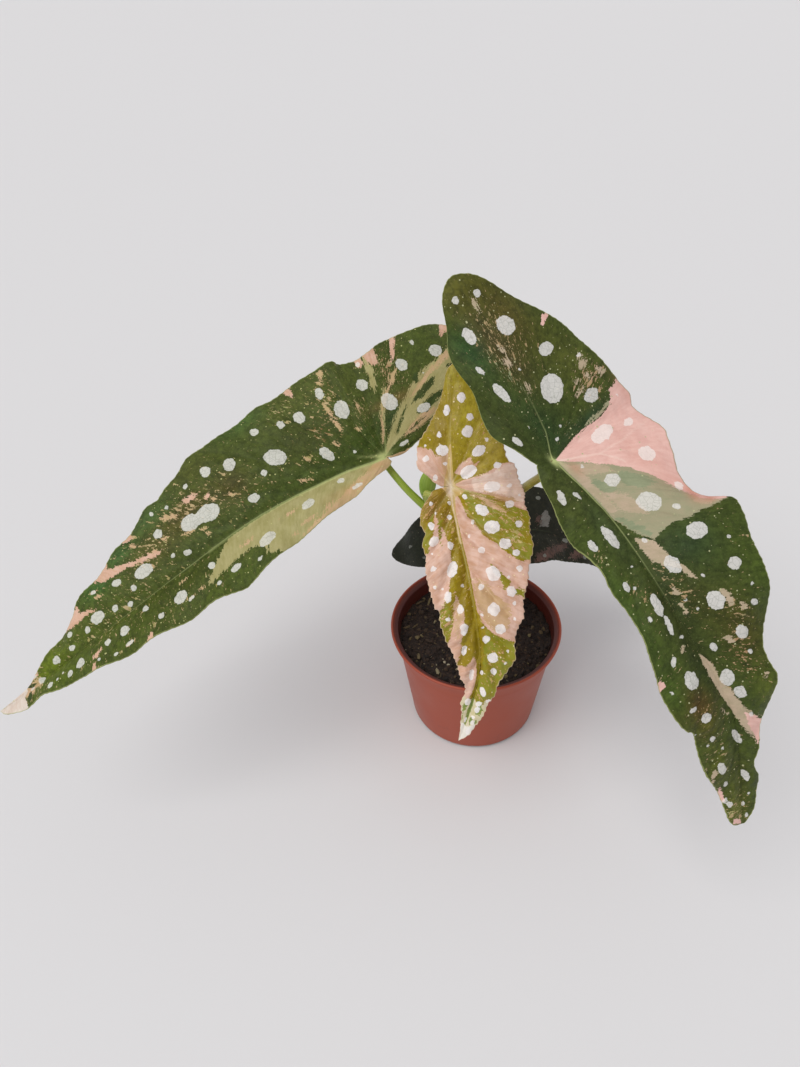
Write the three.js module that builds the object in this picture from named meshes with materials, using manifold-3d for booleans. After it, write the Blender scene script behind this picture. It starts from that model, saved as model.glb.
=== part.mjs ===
// A young variegated cane begonia in a 9 cm nursery pot.
//
// Millimetres, +Z up. The origin is the middle of the pot's underside. +X runs to the right and
// +Y to the back. Three leaves hang in front and at the sides of the pot, and a fourth behind it.
//
// Every blade is drawn flat first. S runs along the midrib from the stalk (0) to the tip, and T
// runs across it. The flat blade is then laid over a midrib curve in space. Each blade has two
// unequal halves: the wide one carries the big rounded lobe behind the stalk.

import * as THREE from 'three';
import { mergeVertices } from 'three/addons/utils/BufferGeometryUtils.js';
import Module from 'manifold-3d';

// ---------------------------------------------------------------- driving dimensions

const GAP = 0.3; // between pieces that touch on the real plant

const pot = {
  rimRadius: 45,
  height: 64,
  baseRadius: 35,
  wall: 1.2,
  floor: 1.6,
  cornerRadius: 3,
  lipWidth: 2,
  lipHeight: 2.4,
  collarHeight: 12,
  collarStep: 0.5,
  wallInset: 2.6, // how far the wall stands back from the rim, just under the lip
  holes: 8,
  holeRadius: 3.2,
  holeCircle: 22,
  sides: 56,
};

const soil = {
  belowRim: 9,
  lumpHeight: 1.6,
  rings: 7,
  sides: 40,
};

const cane = {
  path: [[4, 0, 18], [3, -1, 56], [-2, -4, 84], [-12, -6, 125], [-21, -3, 141], [-25, 0, 152]],
  baseRadius: 3.6,
  topRadius: 2.4,
  nodes: { back: 0.47, right: 0.77, left: 0.91 }, // swollen rings, as fractions of the path
  nodeSwell: 0.9,
  nodeLength: 0.025,
  sides: 12,
  steps: 34,
};

const blade = {
  thickness: 0.8,
  bulge: 0.07, // rise of each half between midrib and margin, as a share of its width
};

// spine is the midrib's curve in space, and junction counts its points before the stalk joins it.
// across is the direction of +T, given at a few places along S. The two margins run round the
// outline from the notch beside the stalk to the tip, one for each half. shoulder is where, along
// the margin, the side veins begin to leave the midrib instead of the stalk. rows, fanRows and
// columns say how finely a blade is divided.

const leaves = [
  {
    name: 'leaf_left',
    rows: 38,
    color: 0x48632a,
    spine: [[-18, 24, 170], [-43, 8, 168], [-65, 1, 164], [-101, -14, 154], [-136, -30, 137],
      [-172, -47, 118], [-226, -58, 81]],
    across: [[-60, -0.5, 0.65, 0.56], [0, -0.5, 0.7, 0.5], [80, -0.45, 0.8, 0.35],
      [217, -0.42, 0.89, 0.17]],
    junction: 1,
    foldDegrees: { plus: 4, minus: 8 },
    wave: { height: 1.6, length: 29, start: 4 },
    halves: [
      {
        shoulder: 30,
        fanRows: 20,
        columns: 5,
        margin: [[-2, -1], [-10, -1.8], [-18, 0], [-28, 1], [-38, 3], [-50, 8], [-60, 16],
          [-67, 26], [-69, 35], [-66, 43], [-60, 47.5], [-54, 49], [-45, 49.5], [-36, 51],
          [-28, 51], [-20, 48.5], [-13, 47.5], [-7, 49], [0, 50.5], [10, 51.5], [16, 50],
          [23, 49.5], [30, 47.5], [36, 46], [42, 46], [50, 45], [60, 44.5], [68, 43], [77, 44],
          [83, 42], [90, 39.5], [97, 36], [104, 37], [110, 35], [116, 32], [123, 30], [131, 26.5],
          [138, 26], [144, 25.5], [150, 23.5], [155, 20.5], [160, 16.5], [166, 14.3], [173, 12],
          [179, 10], [185, 6.5], [191, 4], [198, 1.5], [205, -0.5], [211, -0.5], [217, 0]],
      },
      {
        shoulder: 12,
        fanRows: 5,
        columns: 3,
        margin: [[-1.5, -3], [1, -5], [6, -7], [12, -10], [18, -13], [26, -14], [34, -16],
          [42, -18.5], [50, -20.5], [60, -22], [70, -24.5], [80, -26.5], [85, -27], [91, -25.5],
          [100, -24], [112, -23.5], [124, -21.5], [130, -20], [137, -19.5], [145, -18],
          [153, -16], [161, -15], [168, -12.5], [175, -11.5], [181, -11], [187, -9], [194, -8.5],
          [201, -8.5], [208, -6.5], [213, -4], [217, 0]],
      },
    ],
  },
  {
    name: 'leaf_right',
    rows: 36,
    color: 0x4a5b2c,
    spine: [[-16, -10, 230], [5, -26, 211], [23, -38, 196], [39, -58, 187], [48, -79, 182],
      [60, -98, 168], [75, -111, 146], [83, -118, 128], [93, -130, 82]],
    across: [[-90, -0.9, -0.33, -0.22], [0, -0.9, -0.38, -0.1], [100, -0.9, -0.35, -0.22],
      [200, -0.9, -0.25, -0.35]],
    junction: 2,
    foldDegrees: { plus: 6, minus: 4 },
    wave: { height: 1.5, length: 31, start: 10 },
    halves: [
      {
        shoulder: 25,
        fanRows: 24,
        columns: 5,
        margin: [[0, 3], [-2, 6.5], [-7, 7.8], [-14, 9], [-23, 11], [-30, 9], [-40, 5],
          [-50, 3.5], [-58, 0.5], [-66, -5.5], [-75, -11], [-79.5, -19], [-76, -25.5],
          [-68, -30.5], [-57, -34.5], [-46, -38], [-35, -42], [-26, -43], [-14, -42.3],
          [-4, -43.3], [0.5, -44.5], [4, -41.5], [10, -41.5], [16, -42], [20, -40], [25, -37],
          [29, -34], [35, -33], [40, -35], [44, -39], [48, -42], [56, -42], [66, -39.5],
          [75, -37], [85, -34.5], [91, -31.5], [97, -26.5], [103, -21], [108, -19.7],
          [115, -20], [121, -16], [129, -11], [134, -8.8], [140, -7], [145, -5.2], [150, -6],
          [155, -7.5], [162, -6], [170, -4], [176.5, -0.5]],
      },
      {
        shoulder: 12,
        fanRows: 5,
        columns: 3,
        margin: [[0.6, 4], [1.2, 8], [2.6, 11.3], [8, 13.5], [15, 16], [22, 18.5], [30, 19.3],
          [40, 19.8], [46, 18], [51, 16.7], [58, 17], [66, 15.5], [75, 16], [81, 18], [90, 19.5],
          [97, 21], [106, 21.5], [113, 20], [117, 17.6], [125, 17], [134, 17], [140, 16],
          [146, 13.8], [152, 11.2], [158, 9.3], [166, 8], [171, 6.8], [174.5, 4.5],
          [176.5, -0.5]],
      },
    ],
  },
  {
    name: 'leaf_centre',
    rows: 38,
    color: 0xa08a32,
    spine: [[-14, 8, 197], [-15, -14, 167], [-13, -28, 154], [-10, -42, 143], [-7, -56, 126],
      [-6, -66, 105], [-13, -76, 80], [-16, -80, 73]],
    across: [[-60, -1, 0, 0], [120, -1, 0, 0]],
    junction: 1,
    foldDegrees: { plus: 6, minus: 6 },
    wave: { height: 0.8, length: 14, start: 2 },
    toothHeight: 0.7,
    halves: [
      {
        shoulder: 20,
        fanRows: 32,
        columns: 4,
        margin: [[0, 4], [-2, 7.2], [-4.5, 9.6], [-6, 11.6], [-8.5, 14.5], [-13, 14.2],
          [-17, 14.3], [-21, 12.5], [-25, 9.8], [-30, 7.2], [-36, 4.5], [-43, 2.5], [-50, 1],
          [-52.5, -3], [-49, -9], [-42, -14], [-33, -18], [-24, -20], [-17.5, -23], [-11, -24.5],
          [-8.5, -27.5], [-3, -29], [3, -30.3], [9, -31], [15, -30.3], [21, -31], [28, -29.8],
          [34, -29.3], [41, -26], [47, -24], [54, -21], [60, -20], [66, -16.5], [72, -15],
          [77, -15], [82, -12], [88, -9], [93, -8.8], [98, -7], [104, -6.4], [110, -4.8],
          [115, -3], [119, 0]],
      },
      {
        shoulder: 12,
        fanRows: 8,
        columns: 3,
        margin: [[1, 4.5], [1.8, 7.9], [4, 9.8], [7, 12.5], [10, 14.5], [15, 15.4], [19, 14.4],
          [23, 16.4], [29, 16.2], [34, 17.6], [40, 17.6], [50, 16.8], [53, 15], [58, 15.5],
          [67, 13.8], [73, 11.8], [80, 10], [87, 7.9], [90, 5.5], [95, 4], [99.5, 4.8],
          [105, 2.9], [112, 1.5], [119, 0]],
      },
    ],
  },
  {
    name: 'leaf_back',
    rows: 20,
    color: 0x262c20,
    spine: [[-27, 46, 74], [10, 34, 99], [49, 38, 90], [87, 44, 63], [109, 48, 38]],
    across: [[-60, 0.05, -0.8, -0.6], [120, 0.05, -0.8, -0.6]],
    junction: 1,
    foldDegrees: { plus: 6, minus: 6 },
    wave: { height: 1.2, length: 26, start: 0 },
    halves: [
      {
        shoulder: 20,
        fanRows: 18,
        columns: 4,
        margin: [[0, 3], [-4, 7], [-15, 10.5], [-28, 11], [-42, 10], [-54, 6], [-63, 1],
          [-66, -4], [-62, -9], [-52, -14], [-38, -20], [-22, -24], [-5, -25.5], [10, -25],
          [25, -23.5], [42, -21], [60, -17], [76, -12.5], [92, -8], [106, -4], [121, 0]],
      },
      {
        shoulder: 14,
        fanRows: 6,
        columns: 3,
        margin: [[1, 5], [4, 11], [10, 16.5], [18, 19], [27, 18.5], [36, 16], [48, 14.5],
          [62, 12.5], [78, 9.5], [94, 6], [108, 3], [121, 0]],
      },
    ],
  },
];

// Each stalk runs from its ring on the cane, or from the cane's top, by way of bend to the
// underside of its blade.
const stalks = [
  { name: 'petiole_left', leaf: 'leaf_left', node: 'left', bend: [-34, 3, 153],
    radii: [1.9, 1.5], color: 0x8fa838 },
  { name: 'petiole_right', leaf: 'leaf_right', node: 'right', bend: [15, -9, 157],
    radii: [2.2, 1.6], color: 0x9a8c45 },
  { name: 'petiole_centre', leaf: 'leaf_centre', node: 'top', bend: [-21, -7, 157],
    radii: [1.5, 1.3], color: 0x8c9a3c },
  { name: 'petiole_back', leaf: 'leaf_back', node: 'back', bend: [5, 20, 91],
    radii: [2, 1.5], color: 0x7d7a3a },
];

const stipule = {
  path: [[-28, 6.2, 145], [-29, 7, 151], [-27.4, 7.4, 157], [-24, 7, 163]],
  halfWidth: 4,
  halfThickness: 1.6,
  sides: 12,
  steps: 12,
};

// ---------------------------------------------------------------- curves, sweeps and solids

const wasm = await Module();
wasm.setup();

const vector = (point) => new THREE.Vector3(...point);

const smoothCurve = (points) =>
  new THREE.CatmullRomCurve3(points.map(vector), false, 'catmullrom', 0.5);

// A closed triangle surface with only positions, its shared corners merged.
function bareSurface(geometry) {
  const bare = geometry.clone();
  bare.deleteAttribute('normal');
  bare.deleteAttribute('uv');
  return mergeVertices(bare, 1e-4);
}

function toSolid(geometry) {
  const bare = bareSurface(geometry);
  return new wasm.Manifold(new wasm.Mesh({
    numProp: 3,
    vertProperties: new Float32Array(bare.attributes.position.array),
    triVerts: new Uint32Array(bare.index.array),
  }));
}

function fromSolid(solid) {
  const { numProp, vertProperties, triVerts } = solid.getMesh();
  const positions = new Float32Array((vertProperties.length / numProp) * 3);
  for (let i = 0; i < positions.length / 3; i += 1) {
    for (let axis = 0; axis < 3; axis += 1) {
      positions[3 * i + axis] = vertProperties[numProp * i + axis];
    }
  }
  return surface(positions, Array.from(triVerts));
}

function surface(positions, triangles) {
  const geometry = new THREE.BufferGeometry();
  geometry.setAttribute('position', new THREE.Float32BufferAttribute(positions, 3));
  geometry.setIndex(triangles);
  geometry.computeVertexNormals();
  return geometry;
}

// A closed tube along a curve. half(u) gives its two half-widths at the fraction u of the curve.
function sweep(curve, half, sides, steps) {
  const frames = curve.computeFrenetFrames(steps, false);
  const positions = [];
  for (let i = 0; i <= steps; i += 1) {
    const centre = curve.getPointAt(i / steps);
    const [a, b] = half(i / steps);
    for (let j = 0; j < sides; j += 1) {
      const angle = (2 * Math.PI * j) / sides;
      const point = centre.clone()
        .addScaledVector(frames.normals[i], a * Math.cos(angle))
        .addScaledVector(frames.binormals[i], b * Math.sin(angle));
      positions.push(...point.toArray());
    }
  }
  const first = positions.length / 3;
  positions.push(...curve.getPointAt(0).toArray(), ...curve.getPointAt(1).toArray());
  const triangles = [];
  for (let j = 0; j < sides; j += 1) {
    const k = (j + 1) % sides;
    for (let i = 0; i < steps; i += 1) {
      const [a, b, c, d] = [i * sides + j, i * sides + k, (i + 1) * sides + k, (i + 1) * sides + j];
      triangles.push(a, b, c, a, c, d);
    }
    triangles.push(first, k, j);
    triangles.push(first + 1, steps * sides + j, steps * sides + k);
  }
  return surface(positions, triangles);
}

// ---------------------------------------------------------------- pot and soil

// Radius of the outer wall at height z, under the lip.
function potOuter(z) {
  const top = pot.rimRadius - pot.wallInset;
  const radius = pot.baseRadius + (top - pot.baseRadius) * (z / (pot.height - pot.lipHeight));
  return z < pot.height - pot.collarHeight ? radius - pot.collarStep : radius;
}

const potInner = (z) => potOuter(z) - pot.wall;

function potGeometry() {
  const { height, lipHeight, lipWidth, rimRadius, cornerRadius, collarHeight, floor } = pot;
  const collar = height - collarHeight;
  const underLip = height - lipHeight;
  const lipRound = 0.6;
  const outline = [[0, 0]];
  for (let i = 0; i <= 3; i += 1) {
    const angle = (Math.PI / 2) * (i / 3);
    outline.push([potOuter(0) - cornerRadius + cornerRadius * Math.sin(angle),
      cornerRadius - cornerRadius * Math.cos(angle)]);
  }
  outline.push([potOuter(collar - 0.01), collar - pot.collarStep], [potOuter(collar), collar]);
  outline.push([potOuter(underLip), underLip], [rimRadius - lipRound, underLip]);
  outline.push([rimRadius, underLip + lipRound], [rimRadius, height - lipRound]);
  outline.push([rimRadius - lipRound, height], [rimRadius - lipWidth + lipRound, height]);
  outline.push([rimRadius - lipWidth, height - lipRound]);
  outline.push([potInner(underLip), underLip - 1], [potInner(collar), collar - 1]);
  outline.push([potInner(cornerRadius), floor + cornerRadius]);
  outline.push([potInner(0) - cornerRadius, floor], [0, floor]);
  const shell = new THREE.LatheGeometry(outline.map(([r, z]) => new THREE.Vector2(r, z)),
    pot.sides);
  shell.rotateX(Math.PI / 2);
  let body = toSolid(shell);
  for (let i = 0; i < pot.holes; i += 1) {
    const angle = (2 * Math.PI * i) / pot.holes;
    const cutter = new THREE.CylinderGeometry(pot.holeRadius, pot.holeRadius, 4 * floor, 16);
    cutter.rotateX(Math.PI / 2);
    cutter.translate(pot.holeCircle * Math.cos(angle), pot.holeCircle * Math.sin(angle), floor);
    body = body.subtract(toSolid(cutter));
  }
  return fromSolid(body);
}

// Rough top of the potting mix: three crossed ripples of unlike lengths.
function lumps(x, y) {
  return (Math.sin(0.41 * x + 0.9) * Math.cos(0.37 * y - 0.4)
    + 0.6 * Math.sin(0.83 * x - 0.57 * y + 2.1)
    + 0.4 * Math.cos(1.21 * y + 0.66 * x)) / 2;
}

function soilGeometry(hole) {
  const top = pot.height - soil.belowRim;
  const bottom = pot.floor + GAP;
  const edge = potInner(top) - GAP - 0.2;
  const low = potInner(pot.cornerRadius) - GAP - 0.6;
  const outline = [[0, bottom], [potInner(0) - pot.cornerRadius - 1, bottom],
    [low, bottom + pot.cornerRadius + 0.6], [edge, top - 1]];
  for (let ring = 0; ring < soil.rings; ring += 1) {
    outline.push([(edge - 0.4) * (1 - ring / soil.rings), top]);
  }
  outline.push([0, top]);
  const plug = new THREE.LatheGeometry(outline.map(([r, z]) => new THREE.Vector2(r, z)),
    soil.sides);
  plug.rotateX(Math.PI / 2);
  const place = plug.attributes.position;
  for (let i = 0; i < place.count; i += 1) {
    if (place.getZ(i) > top - 0.5) {
      place.setZ(i, top + soil.lumpHeight * lumps(place.getX(i), place.getY(i)));
    }
  }
  return fromSolid(toSolid(plug).subtract(toSolid(hole)));
}

// ---------------------------------------------------------------- cane, stalks and stipule

const caneCurve = smoothCurve(cane.path);

function caneRadius(u, extra) {
  let radius = cane.baseRadius + (cane.topRadius - cane.baseRadius) * u + extra;
  for (const node of Object.values(cane.nodes)) {
    radius += cane.nodeSwell * Math.exp(-(((u - node) / cane.nodeLength) ** 2));
  }
  return [radius, radius];
}

const caneGeometry = (extra) =>
  sweep(caneCurve, (u) => caneRadius(u, extra), cane.sides, cane.steps);

// The hole in the soil is the lower cane, a little thicker and a little longer.
function stemHole() {
  const [foot, soilTop] = cane.path;
  const curve = smoothCurve([[foot[0], foot[1], foot[2] - GAP], foot, soilTop, cane.path[2]]);
  const radius = cane.baseRadius + 2 * GAP;
  return sweep(curve, () => [radius, radius], cane.sides, 12);
}

// The first two points of a stalk, just clear of the cane's skin.
function stalkFoot(stalk) {
  const u = cane.nodes[stalk.node] ?? 1;
  const centre = caneCurve.getPointAt(u);
  const axis = caneCurve.getTangentAt(u);
  const straight = 2;
  if (stalk.node === 'top') {
    centre.addScaledVector(axis, 2 * GAP);
    return [centre, centre.clone().addScaledVector(axis, straight)];
  }
  const away = vector(stalk.bend).sub(centre).normalize();
  const cosine = away.dot(axis);
  const sine = Math.sqrt(1 - cosine ** 2);
  const [radius] = caneRadius(u, GAP);
  centre.addScaledVector(away, (radius + stalk.radii[0] * Math.abs(cosine)) / sine);
  return [centre, centre.clone().addScaledVector(away, straight)];
}

function stalkGeometry(stalk) {
  const leaf = leaves.find((item) => item.name === stalk.leaf);
  const { centre, normal } = bladeFrame(leaf, 0);
  const clear = blade.thickness / 2 + GAP + 0.3;
  const end = centre.clone().addScaledVector(normal, -clear);
  const below = centre.clone().addScaledVector(normal, -clear - 3.5);
  const curve = new THREE.CatmullRomCurve3(
    [...stalkFoot(stalk), vector(stalk.bend), below, end]);
  const [thick, thin] = stalk.radii;
  return sweep(curve, (u) => Array(2).fill(thick + (thin - thick) * u), 8, 14);
}

// A pointed green sheath, narrow at both ends.
function stipuleGeometry() {
  const body = (u) => 0.12 + 0.88 * Math.sin(Math.PI * Math.min(1, 0.12 + 0.87 * u)) ** 0.8;
  const half = (u) => [stipule.halfThickness * body(u), stipule.halfWidth * body(u)];
  return sweep(smoothCurve(stipule.path), half, stipule.sides, stipule.steps);
}

// ---------------------------------------------------------------- leaf blades

// Reads a list of [s, x, y, z] at s, in straight steps.
function readAt(list, s) {
  let i = 0;
  while (i < list.length - 2 && s > list[i + 1][0]) {
    i += 1;
  }
  const share = THREE.MathUtils.clamp((s - list[i][0]) / (list[i + 1][0] - list[i][0]), 0, 1);
  return vector(list[i].slice(1)).lerp(vector(list[i + 1].slice(1)), share);
}

// Evenly spaced points of the spine, each with its distance s from the stalk.
function measuredSpine(leaf) {
  const perSpan = 40;
  const curve = smoothCurve(leaf.spine);
  const points = curve.getPoints(perSpan * (leaf.spine.length - 1));
  const lengths = [0];
  for (let i = 1; i < points.length; i += 1) {
    lengths.push(lengths[i - 1] + points[i].distanceTo(points[i - 1]));
  }
  const stalk = lengths[leaf.junction * perSpan];
  return points.map((point, i) => [lengths[i] - stalk, point.x, point.y, point.z]);
}

// The place on the spine at s, with the directions along, across and out of the blade there.
function bladeFrame(leaf, s) {
  leaf.measured ??= measuredSpine(leaf);
  const first = leaf.measured[0][0];
  const last = leaf.measured.at(-1)[0];
  const inside = THREE.MathUtils.clamp(s, first, last);
  const reach = 4;
  const ahead = readAt(leaf.measured, Math.min(inside + reach, last));
  const behind = readAt(leaf.measured, Math.max(inside - reach, first));
  const along = ahead.sub(behind).normalize();
  const centre = readAt(leaf.measured, inside).addScaledVector(along, s - inside);
  const across = readAt(leaf.across, s);
  across.addScaledVector(along, -across.dot(along)).normalize();
  const normal = new THREE.Vector3().crossVectors(across, along);
  return { centre, across, normal };
}

// Lays the flat point [s, t] of the blade into space. share is 0 at the midrib and 1 at the
// margin, and width is the distance between them along the vein through the point.
function bladePoint(leaf, s, t, share, width) {
  const { centre, across, normal } = bladeFrame(leaf, s);
  const degrees = t > 0 ? leaf.foldDegrees.plus : leaf.foldDegrees.minus;
  const fold = THREE.MathUtils.degToRad(degrees);
  const ripple = Math.sin((2 * Math.PI * (s - leaf.wave.start)) / leaf.wave.length);
  const rise = Math.abs(t) * Math.sin(fold)
    + blade.bulge * width * Math.sin(Math.PI * share)
    + leaf.wave.height * share ** 3 * ripple * Math.min(1, width / 12);
  centre.addScaledVector(across, t * Math.cos(fold)).addScaledVector(normal, rise);
  return { place: centre, normal };
}

// The margin points of one half, in order from the notch to the tip, with the midrib point that
// the vein through each one starts from.
function veins(leaf, half) {
  const curve = smoothCurve(half.margin.map(([s, t]) => [s, t, 0]));
  const points = curve.getPoints(20 * half.margin.length);
  const length = points.at(-1).x;
  const start = points.findLastIndex((point) => point.x < half.shoulder);
  const fan = new THREE.CatmullRomCurve3(points.slice(0, start + 1));
  const list = fan.getSpacedPoints(half.fanRows).map((point) => ({ root: 0, margin: point }));
  for (let row = 1; row <= leaf.rows; row += 1) {
    const root = (length * row) / leaf.rows;
    const s = half.shoulder + (root * (length - half.shoulder)) / length;
    const next = Math.max(1, points.findIndex((point, i) => i > start && point.x >= s - 1e-9));
    const share = (s - points[next - 1].x) / (points[next].x - points[next - 1].x);
    list.push({ root, margin: points[next - 1].clone().lerp(points[next], share) });
  }
  const toothHeight = leaf.toothHeight ?? 0;
  list.forEach(({ root, margin }, i) => {
    if (i % 2 === 1 && i < list.length - 1) {
      const out = new THREE.Vector3(margin.x - root, margin.y, 0).normalize();
      margin.addScaledVector(out, toothHeight);
    }
  });
  return list;
}

// Both faces of a blade share one set of triangles, so that a waved blade never crosses itself.
function bladeGeometry(leaf) {
  const length = leaf.halves[0].margin.at(-1)[0];
  const places = [];
  const add = (s, t, share, width) => places.push(bladePoint(leaf, s, t, share, width)) - 1;
  const midrib = [];
  for (let row = 0; row <= leaf.rows; row += 1) {
    midrib.push(add((length * row) / leaf.rows, 0, 0, 0));
  }
  const face = [];
  for (const half of leaf.halves) {
    const grid = veins(leaf, half).map(({ root, margin }, i, all) => {
      const stem = midrib[Math.round((root * leaf.rows) / length)];
      if (i === all.length - 1) {
        return Array(half.columns + 1).fill(stem);
      }
      const width = Math.hypot(margin.x - root, margin.y);
      const line = [stem];
      for (let column = 1; column <= half.columns; column += 1) {
        const share = column / half.columns;
        line.push(add(root + (margin.x - root) * share, margin.y * share, share, width));
      }
      return line;
    });
    const middle = half.margin[Math.floor(half.margin.length / 2)];
    const plusSide = middle[1] > 0;
    for (let i = 0; i + 1 < grid.length; i += 1) {
      for (let j = 0; j < half.columns; j += 1) {
        const [a, b, c, d] = [grid[i][j], grid[i + 1][j], grid[i + 1][j + 1], grid[i][j + 1]];
        for (const corners of [[a, b, c], [a, c, d]]) {
          if (new Set(corners).size === 3) {
            face.push(plusSide ? [...corners].reverse() : corners);
          }
        }
      }
    }
  }
  const positions = [];
  for (const side of [1, -1]) {
    for (const { place, normal } of places) {
      const point = place.clone().addScaledVector(normal, (side * blade.thickness) / 2);
      positions.push(...point.toArray());
    }
  }
  return surface(positions, closeBlade(face, places.length));
}

// Turns the triangles of one face into both faces and the narrow wall round the margin.
function closeBlade(face, count) {
  const edges = new Map();
  for (const [a, b, c] of face) {
    for (const [from, to] of [[a, b], [b, c], [c, a]]) {
      if (!edges.delete(`${to} ${from}`)) {
        edges.set(`${from} ${to}`, [from, to]);
      }
    }
  }
  const triangles = [];
  for (const [a, b, c] of face) {
    triangles.push(a, b, c, a + count, c + count, b + count);
  }
  for (const [from, to] of edges.values()) {
    triangles.push(from, from + count, to + count, from, to + count, to);
  }
  return triangles;
}

// ---------------------------------------------------------------- the potted plant

const plant = new THREE.Group();

function place(name, geometry, color, roughness) {
  const material = new THREE.MeshStandardMaterial({ color, roughness, metalness: 0 });
  const mesh = new THREE.Mesh(geometry, material);
  mesh.name = name;
  plant.add(mesh);
}

place('pot', potGeometry(), 0x9c5340, 0.45);
place('soil', soilGeometry(stemHole()), 0x1e1714, 1);
place('main_stem', caneGeometry(0), 0x6f7d3a, 0.5);
place('stipule', stipuleGeometry(), 0x7f9e3c, 0.5);
for (const stalk of stalks) {
  place(stalk.name, stalkGeometry(stalk), stalk.color, 0.45);
}
for (const leaf of leaves) {
  place(leaf.name, bladeGeometry(leaf), leaf.color, 0.5);
}

export default plant;
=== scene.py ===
import math

import bpy
import numpy as np
from mathutils import Matrix, Vector, noise


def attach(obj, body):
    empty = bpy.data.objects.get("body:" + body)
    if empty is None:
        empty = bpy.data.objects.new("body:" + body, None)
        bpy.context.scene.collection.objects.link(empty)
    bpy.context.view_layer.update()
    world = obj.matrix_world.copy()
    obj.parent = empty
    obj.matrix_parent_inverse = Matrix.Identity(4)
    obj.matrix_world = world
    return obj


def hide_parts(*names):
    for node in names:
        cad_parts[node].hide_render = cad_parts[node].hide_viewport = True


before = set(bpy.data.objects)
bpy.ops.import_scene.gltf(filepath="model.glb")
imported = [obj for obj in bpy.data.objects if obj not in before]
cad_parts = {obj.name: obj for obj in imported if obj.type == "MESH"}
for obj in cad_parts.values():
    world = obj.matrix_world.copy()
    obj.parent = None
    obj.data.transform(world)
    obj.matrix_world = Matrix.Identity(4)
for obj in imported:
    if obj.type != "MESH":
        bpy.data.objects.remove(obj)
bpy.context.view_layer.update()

# ---------------------------------------------------------------- camera
# The photograph was taken from about 40 cm above and 30 cm in front of the pot, tilted down.
# The camera's place and lens come from the ellipses of the pot's rim and base.

MM = 0.001
camera_place = Vector((-38, -296, 386)) * MM
pitch_down = math.radians(41)
roll = math.radians(-2.5)
focal_length_px = 820
frame_height_px = 1067
sensor_mm = 36
nearest_seen = 10 * MM

ahead = Vector((0, math.cos(pitch_down), -math.sin(pitch_down)))
level_up = Vector((0, math.sin(pitch_down), math.cos(pitch_down)))
level_right = Vector((1, 0, 0))
camera_right = level_right * math.cos(roll) + level_up * math.sin(roll)
camera_up = level_up * math.cos(roll) - level_right * math.sin(roll)

camera = bpy.data.objects.new("camera", bpy.data.cameras.new("camera"))
camera.data.sensor_width = sensor_mm
camera.data.lens = focal_length_px / frame_height_px * sensor_mm
camera.data.clip_start = nearest_seen
turn = Matrix((camera_right, camera_up, -ahead)).transposed().to_4x4()
camera.matrix_world = Matrix.Translation(camera_place) @ turn
bpy.context.scene.collection.objects.link(camera)
bpy.context.scene.camera = camera
bpy.context.scene.view_settings.view_transform = "Standard"

# ---------------------------------------------------------------- floor and light
# The plant stands on a matt white-painted board, under soft daylight from the upper left. A wide
# soft sun and a bright even sky give the broad, weak shadows of the photograph.

board_width = 12.0
paint_cloud = 4.0


def colour(code):
    """An sRGB hex colour as linear RGBA."""
    parts = [int(code[i:i + 2], 16) / 255 for i in (1, 3, 5)]
    linear = [x / 12.92 if x <= 0.04045 else ((x + 0.055) / 1.055) ** 2.4 for x in parts]
    return (*linear, 1.0)


def add(tree, kind, inputs=(), output=0, **settings):
    """Adds one shader node with its settings, and gives one of its outputs. inputs holds values,
    hex colours or links, in the order of the sockets or by their names or numbers."""
    made = tree.nodes.new("ShaderNode" + kind)
    for key, value in settings.items():
        setattr(made, key, value)
    pairs = inputs.items() if isinstance(inputs, dict) else enumerate(inputs)
    for socket, value in pairs:
        if isinstance(value, bpy.types.NodeSocket):
            tree.links.new(value, made.inputs[socket])
        else:
            made.inputs[socket].default_value = colour(value) if isinstance(value, str) else value
    return made.outputs[output] if made.outputs else None


def new_material(name):
    material = bpy.data.materials.new(name)
    material.use_nodes = True
    material.node_tree.nodes.clear()
    return material, material.node_tree


def painted_board():
    """Matt white emulsion, rolled on. It shows as an even pale grey."""
    material, tree = new_material("painted_board")
    cloud = add(tree, "TexNoise", {"Scale": board_width / paint_cloud, "Detail": 3.0})
    tone = add(tree, "Mix", {0: cloud, 6: "#dadadb", 7: "#dfdfe0"}, 2, data_type="RGBA")
    paint = add(tree, "BsdfPrincipled", {"Base Color": tone, "Roughness": 0.7})
    add(tree, "OutputMaterial", {"Surface": paint})
    return material


board_mesh = bpy.data.meshes.new("board")
board_mesh.from_pydata([(x * board_width / 2, y * board_width / 2, 0)
                        for x, y in ((-1, -1), (1, -1), (1, 1), (-1, 1))], [], [(0, 1, 2, 3)])
board_mesh.materials.append(painted_board())
board = bpy.data.objects.new("board", board_mesh)
bpy.context.scene.collection.objects.link(board)

sky = bpy.data.worlds.new("sky")
sky.use_nodes = True
sky_light = sky.node_tree.nodes["Background"].inputs
sky_light["Color"].default_value = colour("#f3f1f3")
sky_light["Strength"].default_value = 0.68
bpy.context.scene.world = sky

daylight_from = Vector((-0.42, -0.34, 0.84))
daylight = bpy.data.objects.new("daylight", bpy.data.lights.new("daylight", "SUN"))
daylight.data.angle = math.radians(42)
daylight.data.energy = 1.5
daylight.data.color = (1.0, 0.99, 0.97)
daylight.rotation_euler = (-daylight_from).to_track_quat("-Z", "Y").to_euler()
bpy.context.scene.collection.objects.link(daylight)

# ---------------------------------------------------------------- pot
# A thin nursery pot of terracotta-coloured polypropylene, injection moulded in one piece: a
# rolled lip, a collar with a fine step below it, and eight drain holes in the floor.

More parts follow.
